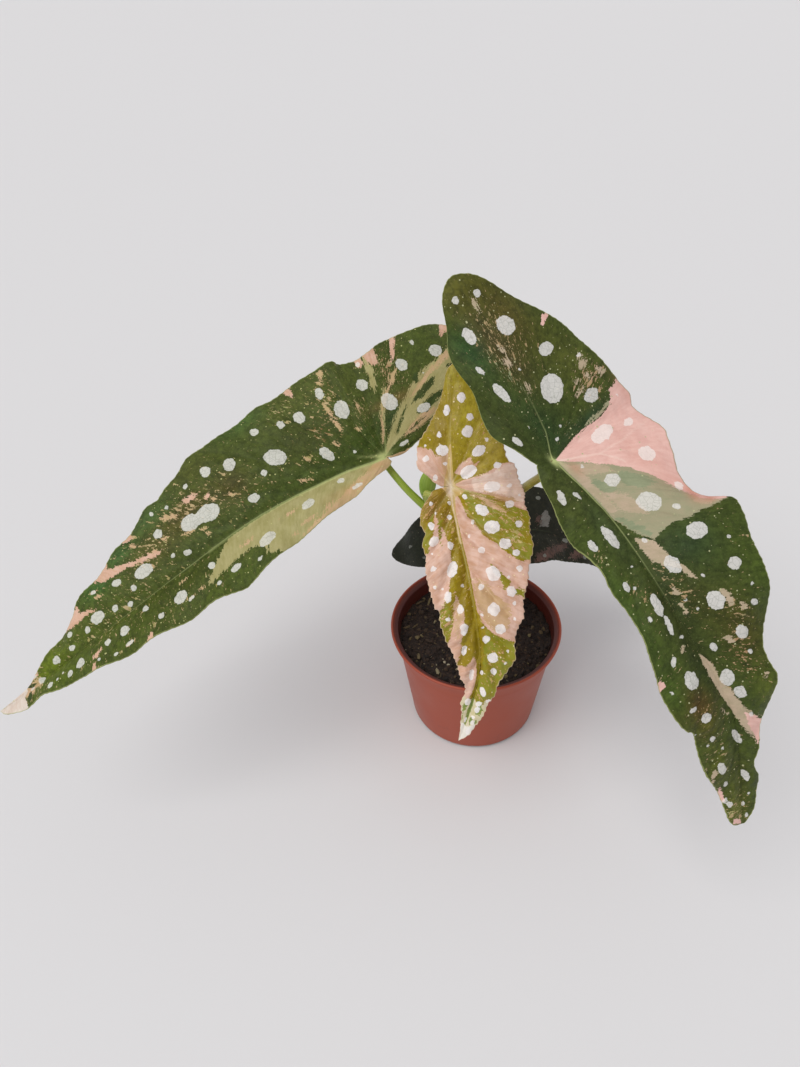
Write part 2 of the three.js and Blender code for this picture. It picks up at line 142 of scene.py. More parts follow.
rim_radius = 45
pot_height = 64
base_radius = 35
pot_wall = 1.2
pot_floor = 1.6
lip_width = 2
lip_height = 2.4
wall_inset = 2.6
collar_height = 12
collar_step = 0.5
corner_radius = 3
drain_holes = 8
drain_radius = 3.2
drain_circle = 22
ledge_drop = 1.68
inner_rings = (61, 59.5, 58, 56.5, 55, 53)
# How far below the lip the painted shade inside the pot takes to darken, and how dark it gets.
inside_shade_edge = 1.8
inside_shade_depth = 0.82


def pot_outer(z):
    top = rim_radius - wall_inset
    radius = base_radius + (top - base_radius) * z / (pot_height - lip_height)
    return radius - collar_step if z < pot_height - collar_height else radius


def lathe(profile, sides):
    """Points and faces of a profile of (radius, height) turned round Z. It starts and ends on
    the axis."""
    points = [(0, 0, profile[0][1])]
    for radius, z in profile[1:-1]:
        for i in range(sides):
            angle = 2 * math.pi * i / sides
            points.append((radius * math.cos(angle), radius * math.sin(angle), z))
    points.append((0, 0, profile[-1][1]))
    last = len(points) - 1
    rings = len(profile) - 2
    faces = []
    for i in range(sides):
        j = (i + 1) % sides
        faces.append((0, 1 + j, 1 + i))
        for ring in range(rings - 1):
            a, b = 1 + ring * sides, 1 + (ring + 1) * sides
            faces.append((a + i, a + j, b + j, b + i))
        top = 1 + (rings - 1) * sides
        faces.append((last, top + i, top + j))
    return points, faces


def mesh_object(name, points, faces):
    """A plain mesh object from points in millimetres."""
    mesh = bpy.data.meshes.new(name)
    mesh.from_pydata((np.asarray(points, float) * MM).tolist(), [], faces)
    made = bpy.data.objects.new(name, mesh)
    bpy.context.scene.collection.objects.link(made)
    return made


def new_piece(name, points, faces, materials, node):
    """A smooth piece of the plant, which stands for one of its nodes."""
    piece = mesh_object(name, points, faces)
    piece.data.polygons.foreach_set("use_smooth", [True] * len(faces))
    for material in materials:
        piece.data.materials.append(material)
    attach(piece, "root")
    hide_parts(node)
    return piece


def store(mesh, name, values):
    """Keeps a number or a colour for each point of a mesh, which its material reads."""
    values = np.asarray(values, np.float32)
    if values.ndim == 1:
        mesh.attributes.new(name, "FLOAT", "POINT").data.foreach_set("value", values)
    else:
        values = np.hstack([values, np.ones((len(values), 1), np.float32)])
        place = mesh.attributes.new(name, "FLOAT_COLOR", "POINT").data
        place.foreach_set("color", values.ravel())


def moulded_polypropylene():
    """Moulded polypropylene: satin, with a faint orange peel and a dull bloom from handling. Its
    inside is painted dark, for the shade in the pot and the stain of the wet mix."""
    material, tree = new_material("moulded_polypropylene")
    place = add(tree, "TexCoord", output="Object")
    bloom = add(tree, "TexNoise", {"Vector": place, "Scale": 1 / (30 * MM), "Detail": 4.0})
    tone = add(tree, "Mix", {0: bloom, 6: "#983e25", 7: "#a2482d"}, 2, data_type="RGBA")
    scuff = add(tree, "TexNoise", {"Vector": place, "Scale": 1 / (6 * MM), "Detail": 6.0})
    worn = add(tree, "MapRange", [scuff, 0.62, 0.75, 0, 0.35])
    tone = add(tree, "Mix", {0: worn, 6: tone, 7: "#80392a"}, 2, data_type="RGBA")
    # Painted shade: the inside of the pot is darkened, for the shade in it and the mix's stain.
    painted_shade_and_stain = add(tree, "Attribute", output="Fac", attribute_name="painted_shade_and_stain")
    tone = add(tree, "Mix", {0: painted_shade_and_stain, 6: tone, 7: "#2a0f12"}, 2, data_type="RGBA")
    gloss = add(tree, "MapRange", [bloom, 0.3, 0.7, 0.36, 0.5])
    peel = add(tree, "TexNoise", {"Vector": place, "Scale": 1 / (1.2 * MM), "Detail": 2.0})
    relief = add(tree, "Bump", {"Height": peel, "Strength": 0.05, "Distance": 0.3 * MM})
    plastic = add(tree, "BsdfPrincipled", {
        "Base Color": tone, "Roughness": gloss, "IOR": 1.49, "Normal": relief})
    add(tree, "OutputMaterial", {"Surface": plastic})
    return material


def pot_profile():
    """The pot's section, from the middle of its underside, over the lip, to the inner floor.
    Its edges are eased over a few tenths of a millimetre."""
    corner_steps, bead_steps, ledge_steps = 6, 8, 8
    collar = pot_height - collar_height
    under_lip = pot_height - lip_height
    profile = [(0, 0)]
    for i in range(corner_steps + 1):
        angle = math.pi / 2 * i / corner_steps
        profile.append((pot_outer(0) - corner_radius + corner_radius * math.sin(angle),
                        corner_radius - corner_radius * math.cos(angle)))
    profile += [(pot_outer(z), z) for z in (collar - 0.8, collar - 0.5)]
    profile.append((pot_outer(collar), collar - 0.1))
    profile += [(pot_outer(z), z) for z in (collar + 0.3, under_lip - 0.6)]
    profile += [(pot_outer(under_lip) + 0.3, under_lip), (rim_radius - 0.5, under_lip + 0.05)]
    bead = lip_width / 3
    for i in range(bead_steps + 1):
        angle = math.pi * i / bead_steps
        profile.append((rim_radius - bead + bead * math.cos(angle),
                        pot_height - bead + bead * math.sin(angle)))
    inner_rim = rim_radius - 2 * bead
    inner_wall = pot_outer(under_lip) - pot_wall
    for i in range(1, ledge_steps + 1):
        share = (1 - math.cos(math.pi * i / ledge_steps)) / 2
        profile.append((inner_rim + (inner_wall - inner_rim) * share,
                        pot_height - bead - ledge_drop * i / ledge_steps))
    profile += [(pot_outer(z) - pot_wall, z) for z in inner_rings]
    profile += [(pot_outer(corner_radius) - pot_wall, pot_floor + corner_radius),
                (pot_outer(0) - pot_wall - corner_radius, pot_floor), (0, pot_floor)]
    return profile


def drain_cutter():
    """Eight plugs that stand through the pot's floor."""
    below, above = -1, 4
    points, faces = [], []
    for i in range(drain_holes):
        angle = 2 * math.pi * i / drain_holes
        x0, y0 = drain_circle * math.cos(angle), drain_circle * math.sin(angle)
        plug, sides = lathe([(0, below), (drain_radius, below), (drain_radius, above),
                             (0, above)], 24)
        faces += [tuple(len(points) + k for k in face) for face in sides]
        points += [(x + x0, y + y0, z) for x, y, z in plug]
    return mesh_object("drain_cutter", points, faces)


def inside_shade_and_stain(x, y, z):
    """How dark a point of the pot is painted, for the shade inside the pot and the stain of the
    mix: the inner half of its wall, from the lip down, and its floor right through."""
    wall_middle = (rim_radius - lip_width / 3 if z > pot_height - lip_height
                   else pot_outer(z) - 0.5 * pot_wall)
    if math.hypot(x, y) >= wall_middle:
        return 0
    return min(inside_shade_depth, (pot_height - z) / inside_shade_edge)


def make_pot():
    points, faces = lathe(pot_profile(), 160)
    pot = new_piece("nursery_pot", points, faces, [moulded_polypropylene()], "pot")
    cutter = drain_cutter()
    holes = pot.modifiers.new("holes", "BOOLEAN")
    holes.object = cutter
    bpy.context.view_layer.update()
    drilled = pot.evaluated_get(bpy.context.evaluated_depsgraph_get())
    pot.data = bpy.data.meshes.new_from_object(drilled)
    pot.modifiers.clear()
    bpy.data.objects.remove(cutter)
    pot.data.set_sharp_from_angle(angle=math.radians(40))
    store(pot.data, "painted_shade_and_stain", [inside_shade_and_stain(*(vertex.co / MM)) for vertex in pot.data.vertices])


make_pot()

# ---------------------------------------------------------------- potting mix
# Dark peat with composted bark and a little grit, filled to 9 mm below the rim. It is one rough
# plug, with loose crumbs, chips and fibres of bark lying in its surface.

soil_top = pot_height - 9
soil_gap = 0.05
soil_radius = pot_outer(soil_top) - pot_wall - soil_gap
cane_foot = (3.0, -1.0)
clear_of_cane = 4.6
clear_of_wall = 1.2
crumb_count = 1500
fibre_share = 0.12
fibre_form = (2.4, 0.8, 0.6)


def soil_height(x, y):
    """Height of the plug's top at (x, y): ripples of the solid, and finer crumbs on them."""
    swell = (math.sin(0.41 * x + 0.9) * math.cos(0.37 * y - 0.4)
             + 0.6 * math.sin(0.83 * x - 0.57 * y + 2.1) + 0.4 * math.cos(1.21 * y + 0.66 * x)) / 2
    crumbs = noise.fractal(Vector((x, y, 0)) * 0.42, 0.9, 2.2, 4)
    lumps = noise.voronoi(Vector((x, y, 3)) * 0.33)[0][0]
    return soil_top + 0.9 * swell + 1.1 * crumbs - 1.5 * lumps + 0.5


def peat_and_bark():
    """Damp peat and bark, sieved and poured: nearly black and matt, with brown and a few
    straw-coloured bits. tint is 0 on the plug, and each loose crumb has its own."""
    material, tree = new_material("peat_and_bark")
    place = add(tree, "TexCoord", output="Object")
    tint = add(tree, "Attribute", output="Fac", attribute_name="tint")
    grain = add(tree, "TexNoise", {"Vector": place, "Scale": 1 / (1.2 * MM), "Detail": 6.0})
    wet = add(tree, "TexNoise", {"Vector": place, "Scale": 1 / (12 * MM), "Detail": 3.0})
    dark = add(tree, "Mix", {0: wet, 6: "#160e0a", 7: "#2b1d15"}, 2, data_type="RGBA")
    brown = add(tree, "MapRange", [grain, 0.52, 0.68, 0, 0.7])
    dark = add(tree, "Mix", {0: brown, 6: dark, 7: "#4a3524"}, 2, data_type="RGBA")
    ramp = add(tree, "ValToRGB", [tint])
    stops = ((0.0, "#170f0b"), (0.4, "#281b14"), (0.7, "#3f3022"), (0.86, "#57492f"),
             (0.95, "#766a4a"), (1.0, "#aaa18a"))
    ends = ramp.node.color_ramp.elements
    while len(ends) < len(stops):
        ends.new(0.5)
    for end, (where, code) in zip(ends, stops):
        end.position = where
        end.color = colour(code)
    loose = add(tree, "MapRange", [tint, 0.001, 0.002])
    tone = add(tree, "Mix", {0: loose, 6: dark, 7: ramp}, 2, data_type="RGBA")
    relief = add(tree, "Bump", {"Height": grain, "Strength": 0.6, "Distance": 0.8 * MM})
    mix = add(tree, "BsdfPrincipled", {"Base Color": tone, "Roughness": 0.9, "Normal": relief})
    add(tree, "OutputMaterial", {"Surface": mix})
    return material


def crumb_form():
    """The 12 corners and 20 faces of a rounded crumb about 2 across."""
    golden = (1 + math.sqrt(5)) / 2
    reach = 1.9
    signs = [(x, y * golden) for x in (-1, 1) for y in (-1, 1)]
    corners = np.array([(x, y, 0) for x, y in signs] + [(0, x, y) for x, y in signs]
                       + [(y, 0, x) for x, y in signs]) / reach
    longest_edge = 1.1
    faces = [[i, j, k] for i in range(12) for j in range(i + 1, 12) for k in range(j + 1, 12)
             if max(np.linalg.norm(corners[i] - corners[j]),
                    np.linalg.norm(corners[j] - corners[k]),
                    np.linalg.norm(corners[i] - corners[k])) < longest_edge]
    for face in faces:
        a, b, c = corners[face]
        if np.dot(np.cross(b - a, c - a), a + b + c) < 0:
            face.reverse()
    return corners, faces


def make_soil():
    rings, sides = 76, 250
    foot_radius = pot_outer(0) - pot_wall - corner_radius - 0.3
    bend_radius = pot_outer(corner_radius) - pot_wall - 0.1
    profile = [(0, pot_floor + soil_gap), (foot_radius, pot_floor + soil_gap),
               (bend_radius, pot_floor + corner_radius + 0.4)]
    profile += [(soil_radius * (1 - i / rings), soil_top) for i in range(rings)]
    profile.append((0, soil_top))
    points, faces = lathe(profile, sides)
    points = [(x, y, soil_height(x, y)) if z == soil_top else (x, y, z) for x, y, z in points]
    tints = [0.0] * len(points)

    rng = np.random.default_rng(7)
    corners, crumb_faces = crumb_form()
    for _ in range(crumb_count):
        angle = rng.uniform(0, 2 * math.pi)
        radius = (soil_radius - clear_of_wall) * math.sqrt(rng.uniform(0, 1))
        x, y = radius * math.cos(angle), radius * math.sin(angle)
        if math.hypot(x - cane_foot[0], y - cane_foot[1]) < clear_of_cane:
            continue
        size = 0.35 + 1.5 * rng.uniform() ** 4
        stretch = np.array([1, rng.uniform(0.5, 1), rng.uniform(0.4, 0.9)]) * size
        if rng.uniform() < fibre_share:
            stretch *= fibre_form
        around = rng.uniform(0, 2 * math.pi)
        tip = rng.uniform(-0.5, 0.5)
        turned = Matrix.Rotation(around, 3, "Z") @ Matrix.Rotation(tip, 3, "Y")
        body = corners * stretch * rng.uniform(0.75, 1.2, (12, 1))
        body = body @ np.array(turned).T + (x, y, soil_height(x, y) + 0.25 * size)
        faces += [tuple(len(points) + k for k in face) for face in crumb_faces]
        points += [tuple(point) for point in body]
        tints += [max(0.01, rng.uniform() ** 1.6)] * len(corners)
    soil = new_piece("potting_mix", points, faces, [peat_and_bark()], "soil")
    store(soil.data, "tint", tints)
    smooth = [len(face.vertices) == 4 for face in soil.data.polygons]
    soil.data.polygons.foreach_set("use_smooth", smooth)


make_soil()

# ---------------------------------------------------------------- cane
# The jointed green stem, woody at its foot, with a swollen ring at each node where a leaf grew,
# and pale corky dots. It stands in the mix and leans to the left.

cane_path = [(4, 0, 18), (3, -1, 56), (-2, -4, 84), (-12, -6, 125), (-21, -3, 141), (-25, 0, 152)]
cane_radii = (3.6, 2.4)
cane_nodes = {"back": 0.47, "right": 0.77, "left": 0.91}
node_swell = 0.9
node_length = 0.025
woody_end = 0.42
woody_fade = 0.15
per_span = 40


def catmull_rom(points, steps=per_span):
    """A smooth curve through the points, with the same number of steps in each span."""
    p = np.array(points, float)
    p = np.vstack([2 * p[0] - p[1], p, 2 * p[-1] - p[-2]])
    u = (np.arange(steps) / steps)[:, None]
    runs = [0.5 * (2 * b + (c - a) * u + (2 * a - 5 * b + 4 * c - d) * u ** 2
                   + (3 * b - a - 3 * c + d) * u ** 3)
            for a, b, c, d in zip(p, p[1:], p[2:], p[3:])]
    return np.vstack([*runs, p[-2:-1]])


def lengths_along(points):
    steps = np.linalg.norm(np.diff(points, axis=0), axis=1)
    return np.concatenate([[0], np.cumsum(steps)])


def read(points, lengths, where):
    """The points of a curve at the given lengths along it."""
    return np.stack([np.interp(where, lengths, points[:, k]) for k in range(points.shape[1])], -1)


def tube(path, radius, sides, steps, squash=1.0):
    """A closed tube along a path. radius(u) is its radius at the fraction u, and squash thins
    it across its second direction."""
    lengths = lengths_along(path)
    u = np.linspace(0, 1, steps + 1)
    centres = read(path, lengths, u * lengths[-1])
    tangents = np.gradient(centres, axis=0)
    tangents /= np.linalg.norm(tangents, axis=1, keepdims=True)
    side = np.cross(tangents[0], (0, 1, 0) if abs(tangents[0][1]) < 0.9 else (1, 0, 0))
    points = []
    for centre, tangent, share in zip(centres, tangents, u):
        side = side - tangent * np.dot(side, tangent)
        side /= np.linalg.norm(side)
        other = np.cross(tangent, side)
        for i in range(sides):
            angle = 2 * math.pi * i / sides
            points.append(centre + radius(share) * (math.cos(angle) * side
                                                    + squash * math.sin(angle) * other))
    faces = [(i * sides + j, i * sides + (j + 1) % sides, (i + 1) * sides + (j + 1) % sides,
              (i + 1) * sides + j) for i in range(steps) for j in range(sides)]
    faces.append(tuple(reversed(range(sides))))
    faces.append(tuple(steps * sides + j for j in range(sides)))
    return points, faces


def green_cane():
    """The skin of a young begonia cane: smooth and olive green, with fine length-wise streaks,
    brown rings at the nodes and pale corky dots."""
    material, tree = new_material("green_cane")
    place = add(tree, "TexCoord", output="Object")
    ring = add(tree, "Attribute", output="Fac", attribute_name="ring")
    foot = add(tree, "Attribute", output="Fac", attribute_name="foot")
    long = add(tree, "Mapping", {"Vector": place, "Scale": (1, 1, 0.12)})
    streak = add(tree, "TexNoise", {"Vector": long, "Scale": 1 / (1.5 * MM), "Detail": 3.0})
    tone = add(tree, "Mix", {0: streak, 6: "#7d8a3e", 7: "#96a04e"}, 2, data_type="RGBA")
    tone = add(tree, "Mix", {0: foot, 6: tone, 7: "#6f5a3c"}, 2, data_type="RGBA")
    cell = add(tree, "TexVoronoi", {"Vector": place, "Scale": 1 / (4 * MM)})
    corky = add(tree, "MapRange", [cell, 0.12, 0.18, 0.8, 0])
    tone = add(tree, "Mix", {0: corky, 6: tone, 7: "#c3bf92"}, 2, data_type="RGBA")
    tone = add(tree, "Mix", {0: ring, 6: tone, 7: "#7b5a3a"}, 2, data_type="RGBA")
    relief = add(tree, "Bump", {"Height": streak, "Strength": 0.2, "Distance": 0.4 * MM})
    skin = add(tree, "BsdfPrincipled", {"Base Color": tone, "Roughness": 0.42,
                                        "Normal": relief})
    add(tree, "OutputMaterial", {"Surface": skin})
    return material


def cane_radius(u):
    swell = sum(math.exp(-((u - node) / node_length) ** 2) for node in cane_nodes.values())
    return cane_radii[0] + (cane_radii[1] - cane_radii[0]) * u + node_swell * swell


def make_cane():
    sides, steps = 28, 150
    points, faces = tube(catmull_rom(cane_path), cane_radius, sides, steps)
    cane = new_piece("cane", points, faces, [green_cane()], "main_stem")
    u = np.repeat(np.linspace(0, 1, steps + 1), sides)
    ring = sum(np.exp(-((u - node) / (0.35 * node_length)) ** 2) for node in cane_nodes.values())
    store(cane.data, "ring", np.clip(ring, 0, 0.8))
    store(cane.data, "foot", np.clip((woody_end - u) / woody_fade, 0, 0.7))


make_cane()

# ---------------------------------------------------------------- left leaf
# The longest blade: waxy leaf tissue half a millimetre thick, stiffened by its veins, that grows
# from its stalk. It is deep green, sage and peach on its narrow half near the stalk, and striped
# with cream on its lobe. Its curled tip is bleached.

# Every blade is drawn flat, in millimetres: s runs along the midrib from the stalk to the tip,
# and t across it. The half with the big lobe comes first. The blade is then laid over its spine,
# the midrib's curve in space, whose point number junction is over the stalk. across gives t's
# direction at some s. fold is how far the halves with t above and below 0 are raised, in
# degrees. wave is the height, pitch and start of the margin's waves, and tooth the height and
# pitch of its teeth. furrow is the half width of a vein's furrow, quilt how high the skin between
# them puckers, and ridge how far apart its ridges are.
leaves = {}
leaves["leaf_left"] = {
    "spine": [(-18, 24, 170), (-43, 8, 168), (-65, 1, 164), (-101, -14, 154),
              (-136, -30, 137), (-172, -47, 118), (-226, -58, 81)],
    "across": [(-60, -0.5, 0.65, 0.56), (0, -0.5, 0.7, 0.5), (80, -0.45, 0.8, 0.35),
               (217, -0.42, 0.89, 0.17)],
    "junction": 1,
    "fold": (4, 8),
    "wave": (1.6, 29, 4),
    "quilt": 0.85,
    "furrow": 3.0,
    "ridge": 6.5,
    "tooth": (0.35, 3.6),
    "halves": [
        {"shoulder": 30, "columns": 62, "margin": [
            (-2, -1), (-10, -1.8), (-18, 0), (-28, 1), (-38, 3), (-50, 8), (-60, 16),
            (-67, 26), (-69, 35), (-66, 43), (-60, 47.5), (-54, 49), (-45, 49.5), (-36, 51),
            (-28, 51), (-20, 48.5), (-13, 47.5), (-7, 49), (0, 50.5), (10, 51.5), (16, 50),
            (23, 49.5), (30, 47.5), (36, 46), (42, 46), (50, 45), (60, 44.5), (68, 43),
            (77, 44), (83, 42), (90, 39.5), (97, 36), (104, 37), (110, 35), (116, 32),
            (123, 30), (131, 26.5), (138, 26), (144, 25.5), (150, 23.5), (155, 20.5),
            (160, 16.5), (166, 14.3), (173, 12), (179, 10), (185, 6.5), (191, 4),
            (198, 1.5), (205, 0.5), (211, 0.3), (217, 0)]},
        {"shoulder": 12, "columns": 32, "margin": [
            (-1.5, -3), (1, -5), (6, -7), (12, -10), (18, -13), (26, -14), (34, -16),
            (42, -18.5), (50, -20.5), (60, -22), (70, -24.5), (80, -26.5), (85, -27),
            (91, -25.5), (100, -24), (112, -23.5), (124, -21.5), (130, -20), (137, -19.5),
            (145, -18), (153, -16), (161, -15), (168, -12.5), (175, -11.5), (181, -11),
            (187, -9), (194, -8.5), (201, -8.5), (208, -6.5), (213, -4), (217, 0)]},
    ],
    "veins": [
        [(0, 0), (-10, 2.5), (-25, 5), (-42, 9), (-56, 18)],
        [(0, 0), (-10, 7), (-24, 18), (-42, 29), (-60, 37)],
        [(0, 0), (-6, 10), (-16, 26), (-26, 40), (-32, 49)],
        [(0, 0), (-1, 12), (-5, 28), (-9, 46)],
        [(0, 0), (6, 12), (11, 28), (13, 48)],
        [(2, 0), (14, 10), (28, 26), (36, 44)],
        [(14, 0), (36, 11), (56, 27), (68, 41)],
        [(40, 0), (62, 11), (84, 27), (96, 35)],
        [(66, 0), (88, 10), (110, 24), (121, 30)],
        [(94, 0), (114, 9), (134, 20), (144, 25)],
        [(122, 0), (140, 7), (156, 15), (161, 17)],
        [(150, 0), (163, 5), (176, 10)],
        [(4, 0), (22, -7), (44, -17)],
        [(34, 0), (54, -9), (76, -23)],
        [(64, 0), (84, -10), (104, -22)],
        [(94, 0), (112, -9), (130, -19)],
        [(124, 0), (140, -8), (154, -15)],
        [(150, 0), (164, -6), (176, -11)],
    ],
    "pale_star": 0.12,
    "heart": (1, 1, 3, 1.6, 0.85),
    "pale_lines": [
        (0.85, 0.6, 150, [(1, -0.4), (40, -0.4), (90, -0.2)]),
        (0.7, 0.5, 10, [(0, 1), (6, 2.6), (12, 4)]),
        (0.6, 0.4, 14, [(-1, 2), (-4, 9), (-8, 16)]),
    ],
}

blade_thickness = 0.5
blade_bulge = 0.07
grid_step = 0.75


def blade_frame(leaf, s):
    """Centre, across and normal of a blade at each s."""
    if "measured" not in leaf:
        points = catmull_rom(leaf["spine"])
        lengths = lengths_along(points)
        leaf["measured"] = points, lengths - lengths[leaf["junction"] * per_span]
    points, lengths = leaf["measured"]
    inside = np.clip(s, lengths[0], lengths[-1])
    reach = 4
    along = (read(points, lengths, np.minimum(inside + reach, lengths[-1]))
             - read(points, lengths, np.maximum(inside - reach, lengths[0])))
    along /= np.linalg.norm(along, axis=1, keepdims=True)
    centre = read(points, lengths, inside) + along * (s - inside)[:, None]
    table = np.array(leaf["across"], float)
    across = read(table[:, 1:], table[:, 0], s)
    across -= along * np.sum(across * along, axis=1, keepdims=True)
    across /= np.linalg.norm(across, axis=1, keepdims=True)
    return centre, across, np.cross(across, along)


def away_from_lines(lines, s, t):
    """Distance of each flat point to the nearest of the lines."""
    nearest = np.full(len(s), np.inf)
    for line in lines:
        for (s0, t0), (s1, t1) in zip(line, line[1:]):
            ds, dt = s1 - s0, t1 - t0
            share = np.clip(((s - s0) * ds + (t - t0) * dt) / (ds * ds + dt * dt), 0, 1)
            nearest = np.minimum(nearest, np.hypot(s - s0 - share * ds, t - t0 - share * dt))
    return nearest


def margin_rows(half, roots):
    """For each grid row of one half: its end on the margin, its start on the midrib, and how far
    round the margin it is. The first rows fan out from the stalk, and the rest start at roots."""
    margin = catmull_rom(half["margin"])
    around = lengths_along(margin)
    shoulder = half["shoulder"]
    start = np.nonzero(margin[:, 0] < shoulder)[0][-1]
    fan = np.linspace(0, around[start], max(2, round(around[start] / grid_step)))
    s = shoulder + roots[1:] * (roots[-1] - shoulder) / roots[-1]
    rest = np.interp(s, np.maximum.accumulate(margin[start:, 0]), around[start:])
    where = np.concatenate([fan, rest])
    return read(margin, around, where), np.concatenate([np.zeros(len(fan)), roots[1:]]), where


def teeth(leaf, where):
    """How far the toothed margin stands out at each length along it. Each tooth rises slowly
    and falls back fast, and no two have quite the same size."""
    height, pitch = leaf["tooth"]
    rising = 0.72
    count = where / pitch + 0.35 * np.sin(where / 7.3)
    part = count % 1
    saw = np.where(part < rising, part / rising, (1 - part) / (1 - rising))
    return height * (saw - 0.35) * (0.75 + 0.25 * np.sin(np.floor(count) * 2.4))


def flat_blade(leaf):
    """The flat grid of a blade: s, t, share, width and margin length of each point, the faces,
    and for each face corner its distance along its vein and its place round the margin."""
    full_tooth_width, rim_power = 4, 14
    length = leaf["halves"][0]["margin"][-1][0]
    roots = np.linspace(0, length, round(length / grid_step) + 1)
    tip = len(roots) - 1
    zero = np.zeros(len(roots))
    flat = [np.stack([roots, zero, zero, zero, zero], 1)]
    count = len(roots)
    faces, corners = [], []
    for half in leaf["halves"]:
        margin, starts, where = margin_rows(half, roots)
        columns = half["columns"]
        reach = np.stack([margin[:, 0] - starts, margin[:, 1]], 1)
        width = np.hypot(*reach.T)
        out = reach / np.maximum(width, 0.01)[:, None]
        stand = teeth(leaf, where) * np.clip(width / full_tooth_width, 0, 1)
        share = np.arange(1, columns + 1) / columns
        edge = stand[:, None] * share ** rim_power
        s = starts[:, None] + reach[:, :1] * share + out[:, :1] * edge
        t = reach[:, 1:] * share + out[:, 1:] * edge
        rows = len(starts) - 1  # the last row is the tip itself
        same = [np.broadcast_to(v, s.shape) for v in (share, width[:, None], where[:, None])]
        flat.append(np.stack([s, t, *same], 2)[:rows].reshape(-1, 5))
        index = np.empty((rows + 1, columns + 1), int)
        index[:, 0] = np.round(starts * tip / length)
        index[:rows, 1:] = count + np.arange(rows * columns).reshape(rows, columns)
        index[rows, :] = tip
        count += rows * columns
        plus_side = half["margin"][len(half["margin"]) // 2][1] > 0
        for i in range(rows):
            for j in range(columns):
                ring = [(i, j), (i + 1, j), (i + 1, j + 1), (i, j + 1)]
                if plus_side:
                    ring.reverse()
                face, spots = [], []
                for row, column in ring:
                    if index[row, column] not in face:
                        face.append(int(index[row, column]))
                        spots.append((width[row] * column / columns, where[row]))
                if len(face) > 2:
                    faces.append(face)
                    corners += spots
    return np.vstack(flat), faces, corners


def lay_blade(leaf, flat):
    """Places in space of a blade's flat points. Each half is folded up from the midrib, bulges,
    and waves towards its margin. The veins lie in furrows, and the skin between them puckers."""
    full_wave_width, full_quilt_width = 12, 10
    pucker_scale = 0.19
    s, t, share, width, where = flat.T
    centre, across, normal = blade_frame(leaf, s)
    fold = np.radians(np.where(t > 0, leaf["fold"][0], leaf["fold"][1]))
    height, pitch, start = leaf["wave"]
    ripple = np.sin(2 * np.pi * (s - start) / pitch)
    rise = (np.abs(t) * np.sin(fold) + blade_bulge * width * np.sin(np.pi * share)
            + height * share ** 3 * ripple * np.minimum(1, width / full_wave_width))
    tip_fade = np.clip(width / full_quilt_width, 0, 1)
    furrow = 1 - np.exp(-(leaf["vein_gap"] / leaf["furrow"]) ** 2)
    pucker = np.array([noise.fractal(Vector((a, b, 0)) * pucker_scale, 0.8, 2.1, 3)
                       for a, b in zip(s, t)])
    past_lobe = np.clip((s + 8) / 16, 0, 1)
    ridges = np.sin(2 * np.pi * where / leaf["ridge"]) * 4 * share ** 2 * (1 - share) * past_lobe
    rise += tip_fade * (1 - 0.5 * share ** 4) * (0.45 + 0.55 * past_lobe) * leaf["quilt"] * (
        furrow + 0.5 * pucker + 0.3 * ridges - 0.5)
    return centre + across * (t * np.cos(fold))[:, None] + normal * rise[:, None]


def seen_marks(leaf, flat, places):
    """Flat places, for the marks, of the points. The marks were read in the photograph with each
    half taken as a plain folded sheet. The bulges move a point across the view, so its mark is
    where its line of sight meets that sheet."""
    most_shift, grazing, near_midrib = 4, 0.25, 4
    s, t = flat[:, 0], flat[:, 1]
    centre, across, normal = blade_frame(leaf, s)
    along = np.cross(normal, across)
    fold = np.radians(np.where(t > 0, leaf["fold"][0], -leaf["fold"][1]))[:, None]
    out = across * np.cos(fold) + normal * np.sin(fold)
    sight = places - np.array(camera_place) / MM
    sight /= np.linalg.norm(sight, axis=1, keepdims=True)
    facing = np.abs(np.sum(np.cross(along, out) * sight, axis=1))
    shift = (places - centre - out * t[:, None])[:, :, None]
    steps = np.linalg.solve(np.stack([along, out, -sight], 2) + 1e-6 * np.eye(3), shift)
    weight = np.clip(facing / grazing, 0, 1) * np.clip(np.abs(t) / near_midrib, 0, 1)
    steps = np.clip(steps[:, :2, 0], -most_shift, most_shift) * weight[:, None]
    return s + steps[:, 0], t + steps[:, 1]


# The tissue is green where it has chlorophyll and pink, cream or sage where the plant is
# variegated. Silver dots are air blisters under the skin. Each patch and dot is stored as a
# distance to its edge, in millimetres, and the shader makes the edge ragged along the veins.


def inside_outline(outline, s, t):
    """Distance to the edge of a closed outline, positive inside it."""
    ring = [*outline, outline[0]]
    odd = np.zeros(len(s), bool)
    for (s0, t0), (s1, t1) in zip(ring, ring[1:]):
        if t0 != t1:
            odd ^= ((t0 > t) != (t1 > t)) & (s < (s1 - s0) * (t - t0) / (t1 - t0) + s0)
    return np.where(odd, 1, -1) * away_from_lines([ring], s, t)


def inside_patches(outlines, s, t):
    """Distance to the nearest edge of a patch, kept within a few millimetres of it."""
    kept = 4
    return np.clip(np.max([inside_outline(outline, s, t) for outline in outlines], 0), -kept, kept)


def inside_dots(dots, s, t):
    """Distance to the edge of the nearest oval dot (s, t, half length, half width, tilt)."""
    kept, core = 3, 0.3
    depth = np.full(len(s), -np.inf)
    for s0, t0, a, *more in dots:
        b, tilt = (*more, *(a, 0)[len(more):])
        c, k = math.cos(math.radians(tilt)), math.sin(math.radians(tilt))
        along, over = (s - s0) * c + (t - t0) * k, (t - t0) * c - (s - s0) * k
        far = np.hypot(along / a, over / b) + 1e-6
        slope = np.hypot(along / a ** 2, over / b ** 2) / far + 1e-6
        near = np.where(far < core, min(a, b) * (1 - far), (1 - far) / slope)
        depth = np.maximum(depth, near)
    return np.clip(depth, -kept, kept)


